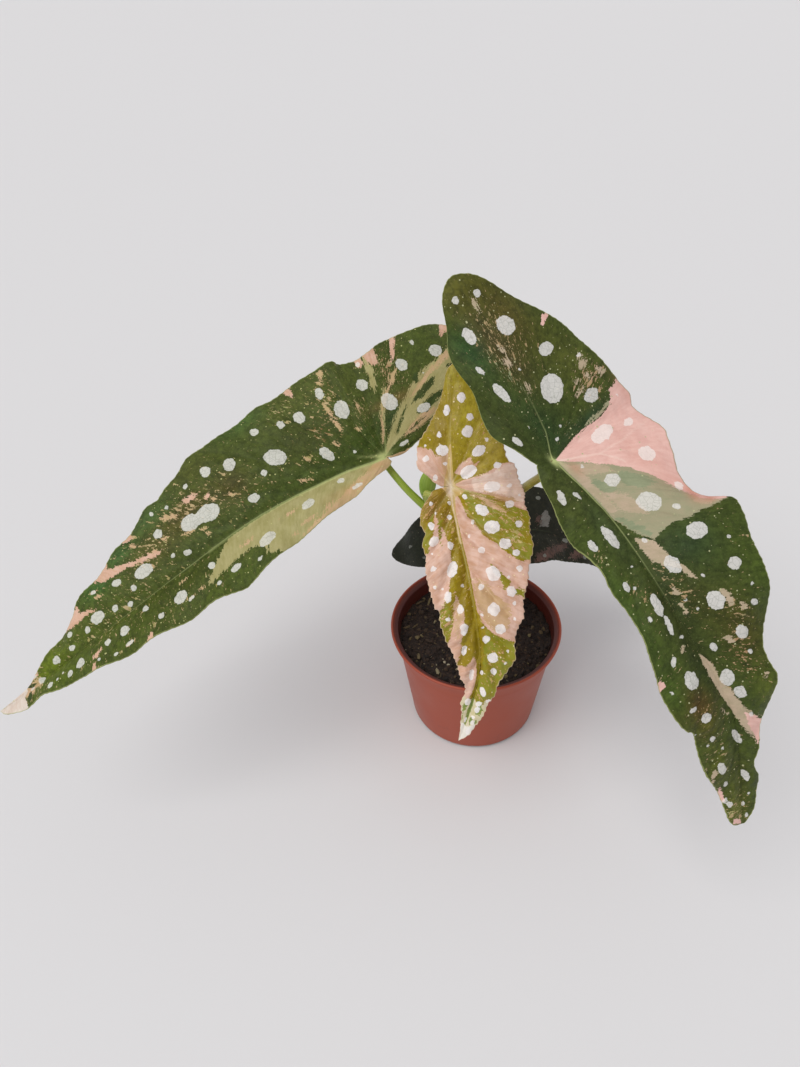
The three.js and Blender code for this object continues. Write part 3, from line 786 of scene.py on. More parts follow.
def clouds(base, washes, s, t):
    """A colour, or a number, that soft oval clouds (s, t, half length, half width, value,
    strength) change from place to place."""
    def numbers(value):
        return np.array(colour(value)[:3] if isinstance(value, str) else [value])

    made = np.repeat(numbers(base)[None], len(s), 0)
    for s0, t0, a, b, value, strength in washes:
        weight = strength * np.exp(-((s - s0) / a) ** 2 - ((t - t0) / b) ** 2)[:, None]
        made = made * (1 - weight) + numbers(value) * weight
    return made if isinstance(base, str) else made[:, 0]


def leaf_noises(tree):
    """The flat place of each point in millimetres, its place along and across its vein, and the
    three noises of every leaf skin: one drawn out along the veins, a fine and a broad one."""
    streak_width, fine_grain, broad_cloud = 1.3333, 0.7692, 6.667
    flat = add(tree, "Attribute", output="Vector", attribute_name="flat")
    vein = add(tree, "UVMap", uv_map="vein")
    long = add(tree, "Mapping", {"Vector": vein, "Scale": (0.26, 1, 1)})
    streak = add(tree, "TexNoise", {"Vector": long, "Scale": 1 / streak_width, "Detail": 6.0,
                                    "Roughness": 0.62})
    fine = add(tree, "TexNoise", {"Vector": flat, "Scale": 1 / fine_grain, "Detail": 5.0,
                                  "Roughness": 0.62})
    broad = add(tree, "TexNoise", {"Vector": flat, "Scale": 1 / broad_cloud, "Detail": 5.0,
                                   "Roughness": 0.6})
    return flat, vein, streak, fine, broad


def ragged(tree, name, streak, fine, reach):
    """Share of a patch at a point: 1 inside its edge and 0 outside it. The edge wanders by
    about reach millimetres, mostly along the veins, and less beside the midrib."""
    soft = 0.1
    depth = add(tree, "Attribute", output="Fac", attribute_name=name)
    wild = add(tree, "Attribute", output="Fac", attribute_name="wild")
    rough = add(tree, "MapRange", [streak, 0.25, 0.75, -1.9 * reach, 1.9 * reach])
    small = add(tree, "MapRange", [fine, 0.25, 0.75, -1.1 * reach, 1.1 * reach])
    rough = add(tree, "Math", [rough, small], operation="ADD")
    depth = add(tree, "Math", [rough, wild, depth], operation="MULTIPLY_ADD")
    return add(tree, "MapRange", [depth, -soft, soft])


def flecked(tree, tone, tones, first, density, mottle, vein):
    """A tone with flecks over it where the leaf is variegated: large ones and small ones, drawn
    out along the veins, each in a rusty halo."""
    long = add(tree, "Mapping", {"Vector": vein, "Scale": (0.55, 1, 1)})
    local = add(tree, "Attribute", output="Color", attribute_name="fleck_tone")
    share = add(tree, "MapRange", [mottle, 0.46, 0.54])
    fleck = add(tree, "Mix", {0: share, 6: local, 7: first}, 2, data_type="RGBA")
    for fleck_width, level, start, strength in ((2.381, 0.175, 0.712, 0.95),
                                                (0.9091, 0.145, 0.7, 0.9)):
        bits = add(tree, "TexNoise", {"Vector": long, "Scale": 1 / fleck_width, "Detail": 5.0,
                                      "Roughness": 0.62})
        bits = add(tree, "Math", [density, level, bits], operation="MULTIPLY_ADD")
        halo = add(tree, "MapRange", [bits, start - 0.045, start, 0, 0.4])
        tone = add(tree, "Mix", {0: halo, 6: tone, 7: tones["rust"]}, 2, data_type="RGBA")
        share = add(tree, "MapRange", [bits, start, start + 0.009, 0, strength])
        tone = add(tree, "Mix", {0: share, 6: tone, 7: fleck}, 2, data_type="RGBA")
    return tone


def veined(tree, tone, tones, flat, midrib_reach):
    """A tone with the pale midrib, which fades towards the tip, and the pale veins on it."""
    pale = add(tree, "Attribute", output="Fac", attribute_name="vein_pale")
    across = add(tree, "SeparateXYZ", [flat], "Y")
    along = across.node.outputs["X"]
    aside = add(tree, "Math", [across], operation="ABSOLUTE")
    midrib = add(tree, "MapRange", [aside, 0.12, 0.4, 1, 0])
    fade = add(tree, "MapRange", [along, 0, midrib_reach, 0.75, 0])
    past_stalk = add(tree, "MapRange", [along, -1, 0])
    midrib = add(tree, "Math", [midrib, fade], operation="MULTIPLY")
    midrib = add(tree, "Math", [midrib, past_stalk], operation="MULTIPLY")
    pale = add(tree, "Math", [pale, midrib], operation="MAXIMUM")
    bright = add(tree, "RGBToBW", [tone])
    on_pink = add(tree, "MapRange", [bright, 0.36, 0.48])
    vein = add(tree, "Mix", {0: on_pink, 6: tones["vein"], 7: "#f0d9cb"}, 2, data_type="RGBA")
    return add(tree, "Mix", {0: pale, 6: tone, 7: vein}, 2, data_type="RGBA")


def specked(tree, tone, tones, flat, density):
    """A tone with pinpoint specks, more of them where the flecks are dense."""
    speck_spacing = 2
    cell = add(tree, "TexVoronoi", {"Vector": flat, "Scale": 1 / speck_spacing})
    luck = add(tree, "SeparateColor", [cell.node.outputs["Color"]])
    size = add(tree, "Math", [luck, 0.15], operation="MULTIPLY")
    size = add(tree, "Math", [cell, size], operation="SUBTRACT")
    speck = add(tree, "MapRange", [size, 0, 0.05, 0.9, 0])
    chance = add(tree, "Math", [density, luck.node.outputs["Green"]], operation="SUBTRACT")
    chance = add(tree, "MapRange", [chance, -0.35, -0.34])
    speck = add(tree, "Math", [speck, chance], operation="MULTIPLY")
    return add(tree, "Mix", {0: speck, 6: tone, 7: tones["speck"]}, 2, data_type="RGBA")


def dotted(tree, tone, tones, flat, fine):
    """A tone with the silver dots on it, and the height of the dots' edges. A dot's skin is a
    film with a net of fine dull lines, through which some of the tone below shows."""
    edge_wave, net_mesh = 2, 2
    wander = add(tree, "TexNoise", {"Vector": flat, "Scale": 1 / edge_wave, "Detail": 3.0})
    wander = add(tree, "MapRange", [wander, 0.3, 0.7, -0.35, 0.35])
    jitter = add(tree, "MapRange", [fine, 0.3, 0.7, -0.12, 0.12])
    dot = add(tree, "Attribute", output="Fac", attribute_name="dots")
    dot = add(tree, "Math", [dot, wander], operation="ADD")
    dot = add(tree, "Math", [dot, jitter], operation="ADD")
    net = add(tree, "TexVoronoi", {"Vector": flat, "Scale": 1 / net_mesh},
              feature="DISTANCE_TO_EDGE")
    net = add(tree, "MapRange", [net, 0, 0.07, 0.6, 0])
    grain = add(tree, "MapRange", [fine, 0.5, 0.72, 0, 0.45])
    mark = add(tree, "Math", [net, grain], operation="ADD", use_clamp=True)
    silver = add(tree, "Mix", {0: mark, 6: tones["dot"], 7: tones["dot_mark"]}, 2,
                 data_type="RGBA")
    bright = add(tree, "RGBToBW", [tone])
    on_pink = add(tree, "MapRange", [bright, 0.36, 0.48, 0, 0.65])
    silver = add(tree, "Mix", {0: on_pink, 6: silver, 7: "#f8f1ec"}, 2, data_type="RGBA")
    film = add(tree, "Math", [bright, 0.3, tones["dot_film"]], operation="MULTIPLY_ADD")
    silver = add(tree, "Mix", {0: film, 6: silver, 7: tone}, 2, data_type="RGBA")
    share = add(tree, "MapRange", [dot, -0.08, 0.1])
    tone = add(tree, "Mix", {0: share, 6: tone, 7: silver}, 2, data_type="RGBA")
    return tone, add(tree, "MapRange", [dot, -0.3, 0.5])


def waxy_skin(name, patches, tones, midrib_reach, roughness, shine):
    """The upper skin of a begonia leaf: waxy and satin, green or variegated, with silver dots,
    flecks and pinpoint specks, and with shade painted along the furrows of its veins. patches
    gives each patch's two tones and its edge's reach, in the order of painting, with the flecks
    among them. tones gives the other tones."""
    mottle_size, blister_size = 2.5, 1.3333
    material, tree = new_material(name)
    flat, vein, streak, fine, broad = leaf_noises(tree)
    mottle = add(tree, "TexNoise", {"Vector": flat, "Scale": 1 / mottle_size, "Detail": 6.0,
                                    "Roughness": 0.68})
    tone = add(tree, "Attribute", output="Color", attribute_name="ground")
    for cloud, low, high, most in ((mottle, 0.4, 0.56, 0.34), (broad, 0.4, 0.56, 0.22),
                                   (streak, 0.42, 0.54, 0.18)):
        shade = add(tree, "MapRange", [cloud, low, high, most, 0])
        tone = add(tree, "Mix", {0: shade, 6: tone, 7: tones["deep"]}, 2, data_type="RGBA")
    grain = add(tree, "MapRange", [fine, 0.56, 0.7, 0, 0.25])
    tone = add(tree, "Mix", {0: grain, 6: tone, 7: tones["grain"]}, 2, data_type="RGBA")
    # Painted shade: the furrows along the veins are darkened towards the furrow tone. On the
    # centre leaf that tone is paler, the colour of its veins.
    line = add(tree, "Attribute", output="Fac", attribute_name="vein_line")
    furrow = add(tree, "Math", [line, 0.3], operation="MULTIPLY")
    tone = add(tree, "Mix", {0: furrow, 6: tone, 7: tones["furrow"]}, 2, data_type="RGBA")

    density = add(tree, "Attribute", output="Fac", attribute_name="fleck")
    blotch = add(tree, "Math", [streak, broad], operation="ADD")
    blotch = add(tree, "MapRange", [blotch, 0.82, 1.18])
    for patch, first, *more in patches:
        if patch == "flecks":
            tone = flecked(tree, tone, tones, first, density, mottle, vein)
        else:
            second, reach = more
            share = ragged(tree, patch, streak, fine, reach)
            shade = add(tree, "Mix", {0: blotch, 6: first, 7: second}, 2, data_type="RGBA")
            tone = add(tree, "Mix", {0: share, 6: tone, 7: shade}, 2, data_type="RGBA")
    blush = add(tree, "Attribute", output="Fac", attribute_name="blush")
    tone = add(tree, "Mix", {0: blush, 6: tone, 7: tones["blush"]}, 2, data_type="RGBA")
    tone = veined(tree, tone, tones, flat, midrib_reach)
    tone = specked(tree, tone, tones, flat, density)
    tone, dot_height = dotted(tree, tone, tones, flat, fine)
    edge = add(tree, "Attribute", output="Fac", attribute_name="edge")
    rim = add(tree, "MapRange", [edge, 0.15, 0.42, 0.6, 0])
    tone = add(tree, "Mix", {0: rim, 6: tone, 7: tones["rim"]}, 2, data_type="RGBA")

    cells = add(tree, "TexVoronoi", {"Vector": flat, "Scale": 1 / blister_size},
                feature="SMOOTH_F1")
    height = add(tree, "Math", [cells, fine], operation="ADD")
    height = add(tree, "Math", [line, -0.8, height], operation="MULTIPLY_ADD")
    height = add(tree, "Math", [dot_height, 0.4, height], operation="MULTIPLY_ADD")
    relief = add(tree, "Bump", {"Height": height, "Strength": 0.22, "Distance": 0.7 * MM})
    skin = add(tree, "BsdfPrincipled", {"Base Color": tone, "Roughness": roughness, "IOR": 1.42,
                                        "Specular IOR Level": shine, "Normal": relief})
    add(tree, "OutputMaterial", {"Surface": skin})
    return material


def under_skin(name, patches, ground, vein_tone):
    """The underside of the leaf: wine red under the green, paler under the variegated patches,
    matt, with the veins standing out."""
    cell_size = 1.4286
    material, tree = new_material(name)
    flat, _, streak, fine, broad = leaf_noises(tree)
    share = add(tree, "MapRange", [broad, 0.35, 0.65])
    tone = add(tree, "Mix", {0: share, 6: ground[0], 7: ground[1]}, 2, data_type="RGBA")
    for patch, first, second, reach in patches:
        share = ragged(tree, patch, streak, fine, reach)
        shade = add(tree, "Mix", {0: streak, 6: first, 7: second}, 2, data_type="RGBA")
        tone = add(tree, "Mix", {0: share, 6: tone, 7: shade}, 2, data_type="RGBA")
    line = add(tree, "Attribute", output="Fac", attribute_name="vein_line")
    tone = add(tree, "Mix", {0: line, 6: tone, 7: vein_tone}, 2, data_type="RGBA")
    cells = add(tree, "TexVoronoi", {"Vector": flat, "Scale": 1 / cell_size},
                feature="SMOOTH_F1")
    height = add(tree, "Math", [line, 1.5, cells], operation="MULTIPLY_ADD")
    relief = add(tree, "Bump", {"Height": height, "Strength": 0.3, "Distance": 0.7 * MM})
    skin = add(tree, "BsdfPrincipled", {"Base Color": tone, "Roughness": 0.5, "IOR": 1.42,
                                        "Specular IOR Level": 0.35, "Normal": relief})
    add(tree, "OutputMaterial", {"Surface": skin})
    return material


def pale_veins(leaf, s, t):
    """How pale the veins are at each point: a star at the stalk, a heart (s, t, half length,
    half width, strength) in it, and lines (strength, half width, reach, points) that fade away
    from the stalk."""
    far = np.hypot(s, t)
    star = np.exp(-(leaf["vein_gap"] / (0.35 + 0.25 * np.exp(-far / 6))) ** 2)
    s0, t0, half_length, half_width, heart = leaf["heart"]
    pale = leaf["pale_star"] * np.exp(-far / 12) * star + heart * np.exp(
        -((s - s0) / half_length) ** 2 - ((t - t0) / half_width) ** 2)
    for strength, half_width, reach, line in leaf["pale_lines"]:
        gap = away_from_lines([line], s, t)
        pale += strength * np.exp(-(gap / half_width) ** 2 - far / reach)
    return np.clip(pale, 0, 1)


def make_blade(node, skins, clouded, dots, shapes):
    """Makes one blade. clouded gives the washes of its ground, its flecks' density and tone,
    and its blush. shapes gives the outlines of its patches."""
    leaf = leaves[node]
    flat, faces, corners = flat_blade(leaf)
    s, t, share, width, _ = flat.T
    length = leaf["halves"][0]["margin"][-1][0]
    midrib = [(0, 0), (length, 0)]
    leaf["vein_gap"] = away_from_lines([*leaf["veins"], midrib], s, t)
    places = lay_blade(leaf, flat)
    blade = new_piece(node.replace("leaf", "blade"), places, faces, skins, node)
    mesh = blade.data
    mesh.uv_layers.new(name="vein").data.foreach_set("uv", np.array(corners, float).ravel())
    place = mesh.attributes.new("flat", "FLOAT_VECTOR", "POINT")
    place.data.foreach_set("vector", np.stack([s, t, 0 * s], 1).astype(np.float32).ravel())
    far = np.hypot(s, t)
    thin = 0.5 + 0.4 * np.exp(-far / 40)
    line = 0.8 * np.exp(-(leaf["vein_gap"] / thin) ** 2) * np.clip(far / 15, 0.2, 1)
    store(mesh, "edge", (1 - share) * width)
    store(mesh, "vein_pale", pale_veins(leaf, s, t))
    store(mesh, "wild", np.clip(np.abs(t) / 3, 0.08, 1) * np.clip(far / 12, 0.3, 1))
    store(mesh, "vein_line", line)
    seen = seen_marks(leaf, flat, places)
    for name, (base, *washes) in clouded.items():
        store(mesh, name, clouds(base, washes, *seen))
    store(mesh, "dots", inside_dots(dots, *seen))
    for name, outlines in shapes.items():
        store(mesh, name, inside_patches(outlines, *seen))
    body = blade.modifiers.new("thickness", "SOLIDIFY")
    body.thickness = blade_thickness * MM
    body.offset = 0
    body.material_offset = 1


left_patches = [
    ("flecks", "#bba67c"),
    ("sage", "#9c9660", "#aca573", 0.9),
    ("peach", "#c9a884", "#b9a374", 0.8),
    ("island", "#333f1c", "#47552a", 0.7),
    ("pink", "#dcb7a2", "#cca487", 0.7),
    ("white_tip", "#e3dbcf", "#d2bfb0", 0.5),
]
left_shapes = {
    "sage": [
        [(0, -0.4), (30, -0.2), (80, -0.9), (82, -2.2), (86, -5), (90, -7.5), (95, -11.5),
         (98, -15), (88, -13.5), (78, -12.5), (72, -12), (69, -14), (66, -16), (68, -19),
         (63, -20.5), (60, -26), (40, -26), (20, -20), (3, -9), (-2, -3)],
        [(-57, 34.5), (-50, 32.5), (-43, 31), (-38, 29.5), (-32, 27), (-26, 22.5), (-20, 19),
         (-14, 15), (-8, 9.5), (-3, 5), (0, 0.5), (-8, 4.5), (-15, 6), (-22, 8), (-30, 7),
         (-36, 8.5), (-42, 12), (-46, 17), (-52, 22), (-57, 23), (-66, 27), (-70, 33)],
        [(-19, 48), (-16, 48), (-15, 42), (-12.5, 35), (-12, 30), (-15, 33), (-18, 40)],
        [(-20, 31), (-15, 28), (-9, 20.5), (-4.5, 12), (-1, 5), (-3.5, 8), (-10, 18),
         (-17, 26)],
    ],
    "peach": [
        [(-1, -1), (6, -1), (10, -3.5), (20, -7.6), (28, -11), (36, -14), (44, -17.2), (50, -19.6),
         (48, -23), (30, -19), (10, -13), (-3, -6)],
        [(-14, -1.2), (-8, -0.9), (-3, -0.7), (0, 0), (0, -4), (-14, -3)],
        [(45, -6.3), (50, -5.8), (56, -7), (51, -7.6)],
        [(30, -10.5), (34, -11.5), (37, -13.5), (33, -13.4)],
        [(40, -12.6), (45, -13.2), (49, -14.8), (43, -14.6)],
        [(50, -16.4), (54, -17), (55, -18.2), (51, -17.8)],
        [(70, -7.6), (77, -8.2), (76, -9.2), (71, -9)],
        [(-35, 11.5), (-28, 11.5), (-22, 9.8), (-16, 6.8), (-13, 5.2), (-20, 5.5), (-27, 7),
         (-33, 9)],
        [(-28.5, 36), (-25, 35), (-20.5, 30), (-16, 28), (-12.5, 23.5), (-10, 20), (-14, 22.5),
         (-19, 28), (-24, 31)],
        [(-10, 20), (-7.5, 18), (-3.5, 9.5), (-1.5, 6), (-5, 10)],
        [(-56, 33.8), (-48, 31), (-40, 28), (-33, 24.5), (-27, 20.5), (-33, 22), (-41, 26),
         (-50, 29), (-57, 31)],
        [(14, 19), (15.2, 25), (16.4, 33), (17.2, 35), (16.4, 25), (15.5, 19)],
        [(13.5, 49.5), (15, 49.5), (16.5, 44), (15.2, 43)],
        [(33, 3), (37, 5.5), (40, 6.5), (39, 4.4), (35, 3)],
        [(107, 14), (109.5, 17), (113, 18), (114.4, 17), (112.6, 15.4), (109, 14.2)],
        [(92.6, 23.8), (96, 27.6), (100.4, 28.8), (99, 25.6), (95, 23.6)],
        [(84.6, 6.6), (86.6, 8.8), (87.4, 8), (86, 6.4)],
        [(84, 9.8), (87.6, 11.8), (88.6, 11), (86, 9.6)],
        [(90.2, 13), (94.6, 15.4), (96, 14.8), (92.6, 12.6)],
        [(101, 18.2), (105.4, 20), (106, 19.2), (102.6, 17.8)],
        [(115, 24.6), (117, 27.6), (119, 26.4), (117, 24.6)],
        [(113, 28.8), (115.4, 31.8), (117, 30), (115, 28.4)],
        [(112.4, 11), (114.4, 12.6), (115.4, 11.8), (113.4, 10.4)],
        [(141.6, 15.8), (144, 18.2), (146, 17), (143.6, 15.4)],
        [(143, 19.6), (147, 21.6), (147.4, 20.6), (144.4, 19)],
        [(104.4, -3.8), (108.6, -4.2), (108, -5.2), (105, -4.8)],
        [(104.6, -14.2), (109, -13.8), (108, -15.8), (105, -15.2)],
        [(137, -13.6), (141, -13.4), (140.6, -15), (137.6, -14.8)],
        [(99.4, -13.6), (102.4, -13.4), (102, -14.4), (100, -14.4)],
        [(31, 12), (32.6, 15), (33.6, 14.6), (32.4, 11.8)],
        [(16.6, 12.6), (19, 15.4), (19.6, 14.8), (17.6, 12.4)],
        [(0.4, 26.6), (1, 29.6), (3, 28), (2.4, 25.6)],
        [(5.4, 16.4), (8, 18.4), (8.6, 17.4), (6.6, 15.8)],
        [(66.4, 15), (68.6, 18), (69.6, 17), (68, 14.6)],
        [(74, 20), (76.6, 20.6), (76, 18.6)],
        [(191, 2), (188, -3), (192, -2), (196, -6.5), (199, -3), (201, 1)],
    ],
    "island": [
        [(-43, 24.8), (-38, 24), (-33, 22), (-28, 19.5), (-26, 17.5), (-31, 18), (-36, 19.5),
         (-41, 22)],
        [(-44, 17.5), (-38, 17.5), (-34, 16.5), (-27, 14), (-25, 12), (-30, 11), (-36, 13),
         (-42, 15)],
        [(-60, 28), (-52, 27.2), (-51.5, 24.5), (-60, 24)],
        [(-23, 18), (-17, 14), (-10, 8.2), (-11, 7.6), (-17, 12.5)],
        [(-29, 9.5), (-22, 8.5), (-17, 6.2), (-22, 7.2)],
        [(-36, 30), (-32, 28.5), (-33, 25.5), (-35, 26)],
        [(196, -2), (198.5, -4), (197, -7), (194, -4)],
        [(191, 0.2), (195, 1.6), (198, 1.2), (195, -0.4)],
    ],
    "pink": [
        [(-67, 45), (-61, 49), (-58.5, 45.5), (-57, 41), (-60, 42), (-63, 43.5)],
        [(-37, 52), (-33, 52), (-31, 47), (-29, 42.5), (-27.8, 39.3), (-29.5, 40), (-32, 44),
         (-34.5, 48.5)],
        [(-23.5, 50), (-17.5, 50), (-17.4, 44), (-20, 41.8), (-22, 42), (-23, 45)],
        [(-16, 48.5), (-12, 48.5), (-11, 44.5), (-13, 43.6), (-15.5, 45)],
        [(25, 43), (25.5, 50), (28.3, 50), (27.4, 46), (26.4, 43.4)],
        [(75.5, 24), (79, 23), (78, 21.4), (76, 22)],
        [(79.5, 26.8), (84, 28.6), (88, 28.6), (87, 26.2), (82, 25.6)],
        [(115, 33), (121, 31.5), (120, 29.6), (115.5, 29)],
        [(131, 30), (144, 28), (141.5, 23), (138, 20.8), (130, 19.8), (124, 18.8), (118, 16.6),
         (110, 14.2), (107, 15), (113, 17.6), (119, 18.8), (123, 20.6), (128, 23),
         (133, 24.5)],
        [(157, 20), (163, 17), (169, 14.6), (174, 13.6), (168, 12.4), (160, 12.4), (154, 13),
         (148, 12), (152, 14.6), (156, 15.8)],
        [(152, -6.6), (157, -7), (157.5, -9), (154, -9.4)],
        [(155.5, -11.5), (158, -11), (159, -15), (157, -15)],
        [(129, -17), (131, -17), (133.5, -21), (129.5, -21)],
        [(189, 3.6), (192, 6), (200, 3.5), (200, 1.2), (195, 2)],
    ],
    "white_tip": [
        [(198, 4), (220, 3), (220, -3), (208, -12), (197, -12), (198.5, -6), (200, -3),
         (198, -0.5)],
    ],
}
left_dots = [
    (-50.8, 36, 3.3, 3.1), (-31.5, 36.5, 2.8, 3.2), (-8, 35.8, 3.5, 2.9), (-16.3, 23, 3.9, 4.4),
    (-42.2, 44.2, 1.2), (-39, 28.4, 0.8), (-29.5, 13.2, 3.7, 2.1), (-27, 3, 2.8, 1.4, -30),
    (-10.8, 2, 2.5, 1, -12), (-12.5, 45.5, 1.3), (17, 39.2, 1.4, 2.8), (11.2, 28.2, 3.3, 4.6),
    (27, 32.8, 2.4, 3), (35.6, 33.8, 1.6, 2), (46.8, 36.6, 1.7, 2), (62.6, 29, 2.7, 3),
    (72.4, 33, 2.2, 2.7), (44.2, 21, 5.2, 3.8, 38), (51.6, 17, 1.3, 1.7),
    (23.5, 11.3, 2.2, 4, -25), (60.7, 8.8, 2.6, 2.1, 20), (12.5, 7.5, 0.9),
    (23.2, -3.2, 1.9, 1.1, -15), (41.3, -6.7, 3.3, 1.9, -12), (64.8, -12.4, 4.5, 2.6, -14),
    (17, -8.8, 3, 1, -10), (83, 33.2, 1.1), (95.2, 30.8, 1), (102.7, 33.2, 0.8, 1.2),
    (80.8, 15.5, 5.2, 4.2, 20), (90, 17.2, 4.6, 3.9, 20), (85.5, 16.2, 4, 2.8),
    (105, 22.7, 2.2), (119, 12.2, 4.6, 3.2, 10), (132.3, 16.2, 2.5, 1.7, 15),
    (98.2, 6.3, 2.1, 1.4, 30), (104.6, 9.3, 1.1), (126.7, 8.6, 1.5), (145.5, 20, 1.5, 1.1, 20),
    (148.7, 8.3, 3.9, 2.8, 12), (138.9, 6.3, 1.6), (131.9, 3.2, 1.4), (155.8, 6.3, 1.6),
    (165.8, 10.3, 1.6, 1.3), (167, 3.7, 1.9, 1.3, 25), (177.1, 3.6, 2.5, 1.9, 30),
    (188.3, -0.4, 2.5, 1.7, 25), (92.1, -7.1, 1.7, 1.9), (111, -11, 3.6, 2.8, -15),
    (126.9, -4, 1.5), (122.5, -12.5, 1.6, 1.4), (139.2, -6.7, 2.4), (148.2, -6.2, 1.6),
    (139, -14.1, 2, 0.9), (146, -14.5, 0.9), (154.2, -11.1, 0.9), (164.1, -6.4, 2.4, 2.2),
    (170.7, -7.6, 1.6), (183.3, -6.1, 1.7, 1.4), (178.7, -5.7, 0.9, 0.6), (174.8, -4.6, 0.8, 0.6),
    (83.3, -15.9, 2.7, 1.7, -10), (93.1, -17.1, 1.1), (107, -14.9, 1.6, 0.8, -8),
    (72, -19, 1.5, 0.9), (192, 3.4, 1, 0.7), (194.5, -1.4, 1.1, 0.9),
]
left_clouds = {
    "ground": [
        "#525e27", (4, 10, 15, 9, "#3f5319", 0.8), (-46, 42, 14, 10, "#526026", 0.6),
        (-14, 14, 9, 9, "#3a4f2c", 0.7), (2, 44, 14, 9, "#5a6327", 0.7),
        (34, 42, 16, 6, "#646a30", 0.6), (30, 24, 12, 10, "#4a5124", 0.7),
        (34, 6, 30, 6, "#475823", 0.7), (62, 36, 12, 8, "#4c581f", 0.7),
        (50, 44, 12, 5, "#4f6c33", 0.7), (90, 22, 16, 7, "#594c22", 0.7),
        (78, 38, 12, 6, "#5e612a", 0.6), (105, 32, 12, 6, "#506a36", 0.8),
        (110, 17, 14, 7, "#66602e", 0.6), (84, 5, 26, 6, "#4e5c2b", 0.6),
        (150, 4, 30, 12, "#5c6b24", 0.6), (184, 3, 16, 8, "#6f801c", 0.9),
        (142, 21, 10, 5, "#45702c", 0.8), (112, -6, 26, 5, "#454f16", 0.8),
        (140, -12, 26, 7, "#51601a", 0.7), (84, -20, 18, 6, "#4f6018", 0.7),
        (172, -8, 14, 4, "#5c6e1a", 0.7), (124, 27, 8, 4, "#48703a", 0.7),
        (6, 46, 12, 5, "#54602a", 0.6), (66, 20, 8, 8, "#5a4826", 0.5),
    ],
    "fleck": [
        0.25, (88, 25, 18, 8, 0.85, 1), (16, 34, 5, 15, 0.85, 1), (66, 14, 16, 8, 0.65, 1),
        (114, 19, 12, 8, 0.85, 1), (140, 4, 34, 12, 0.62, 1), (118, -14, 30, 7, 0.6, 1),
        (-24, 38, 7, 12, 0.95, 1), (2, 25, 6, 6, 0.85, 1), (33, 40, 7, 7, 0.7, 1),
        (22, 22, 4, 6, 0.85, 1), (194, 0, 8, 8, 1.0, 1), (32, 13, 7, 5, 0.6, 1),
        (-16, 9, 12, 4, 0.85, 1), (60, -10, 24, 8, 0.3, 1), (-52, 42, 8, 5, 0.1, 1),
        (50, 30, 8, 8, 0.2, 1),
    ],
    "fleck_tone": [
        "#a29a5e", (-24, 38, 8, 14, "#b3946c", 1), (15, 32, 5, 16, "#a98d56", 1),
        (22, 22, 5, 6, "#96704c", 1), (-16, 9, 12, 4, "#b39a74", 1),
        (88, 24, 18, 10, "#b39a70", 1), (34, 40, 8, 8, "#8c9858", 1),
        (120, 18, 12, 8, "#b8a078", 1), (62, 10, 8, 6, "#946a4c", 0.8),
        (156, -11, 7, 5, "#c9a888", 1), (196, 0, 8, 8, "#c4b08a", 1),
    ],
    "blush": [
        0.0, (22, -9, 12, 2.5, 0.25, 1), (-18, 23, 12, 2.5, 0.2, 1), (6, -2.5, 5, 1.5, 0.3, 1),
    ],
}
left_tones = {
    "deep": "#101806", "grain": "#84904c", "furrow": "#1c280c", "rust": "#5a4a22",
    "blush": "#bf8a5c", "vein": "#b4bd7c", "speck": "#b9b97c", "dot": "#dcdcd3",
    "dot_mark": "#aaada0", "dot_film": 0.15, "rim": "#a9b070",
}
left_upper = waxy_skin("waxy_skin_left", left_patches, left_tones, 165, 0.5, 0.16)
left_under = under_skin("under_skin_left", [
    ("sage", "#a8786a", "#b48a76", 0.9), ("pink", "#c98d84", "#c08478", 0.7),
    ("dots", "#8f5a50", "#9a6659", 0.3)], ("#5a2526", "#74342e"), "#8e8a4e")
make_blade("leaf_left", [left_upper, left_under], left_clouds, left_dots,
           left_shapes)

# ---------------------------------------------------------------- right leaf
# The nearest and broadest blade, of the same tissue. It arches over from the top of its stalk, so
# that its tip hangs. A wedge of its wide half is pink, and the next one sage and cream.

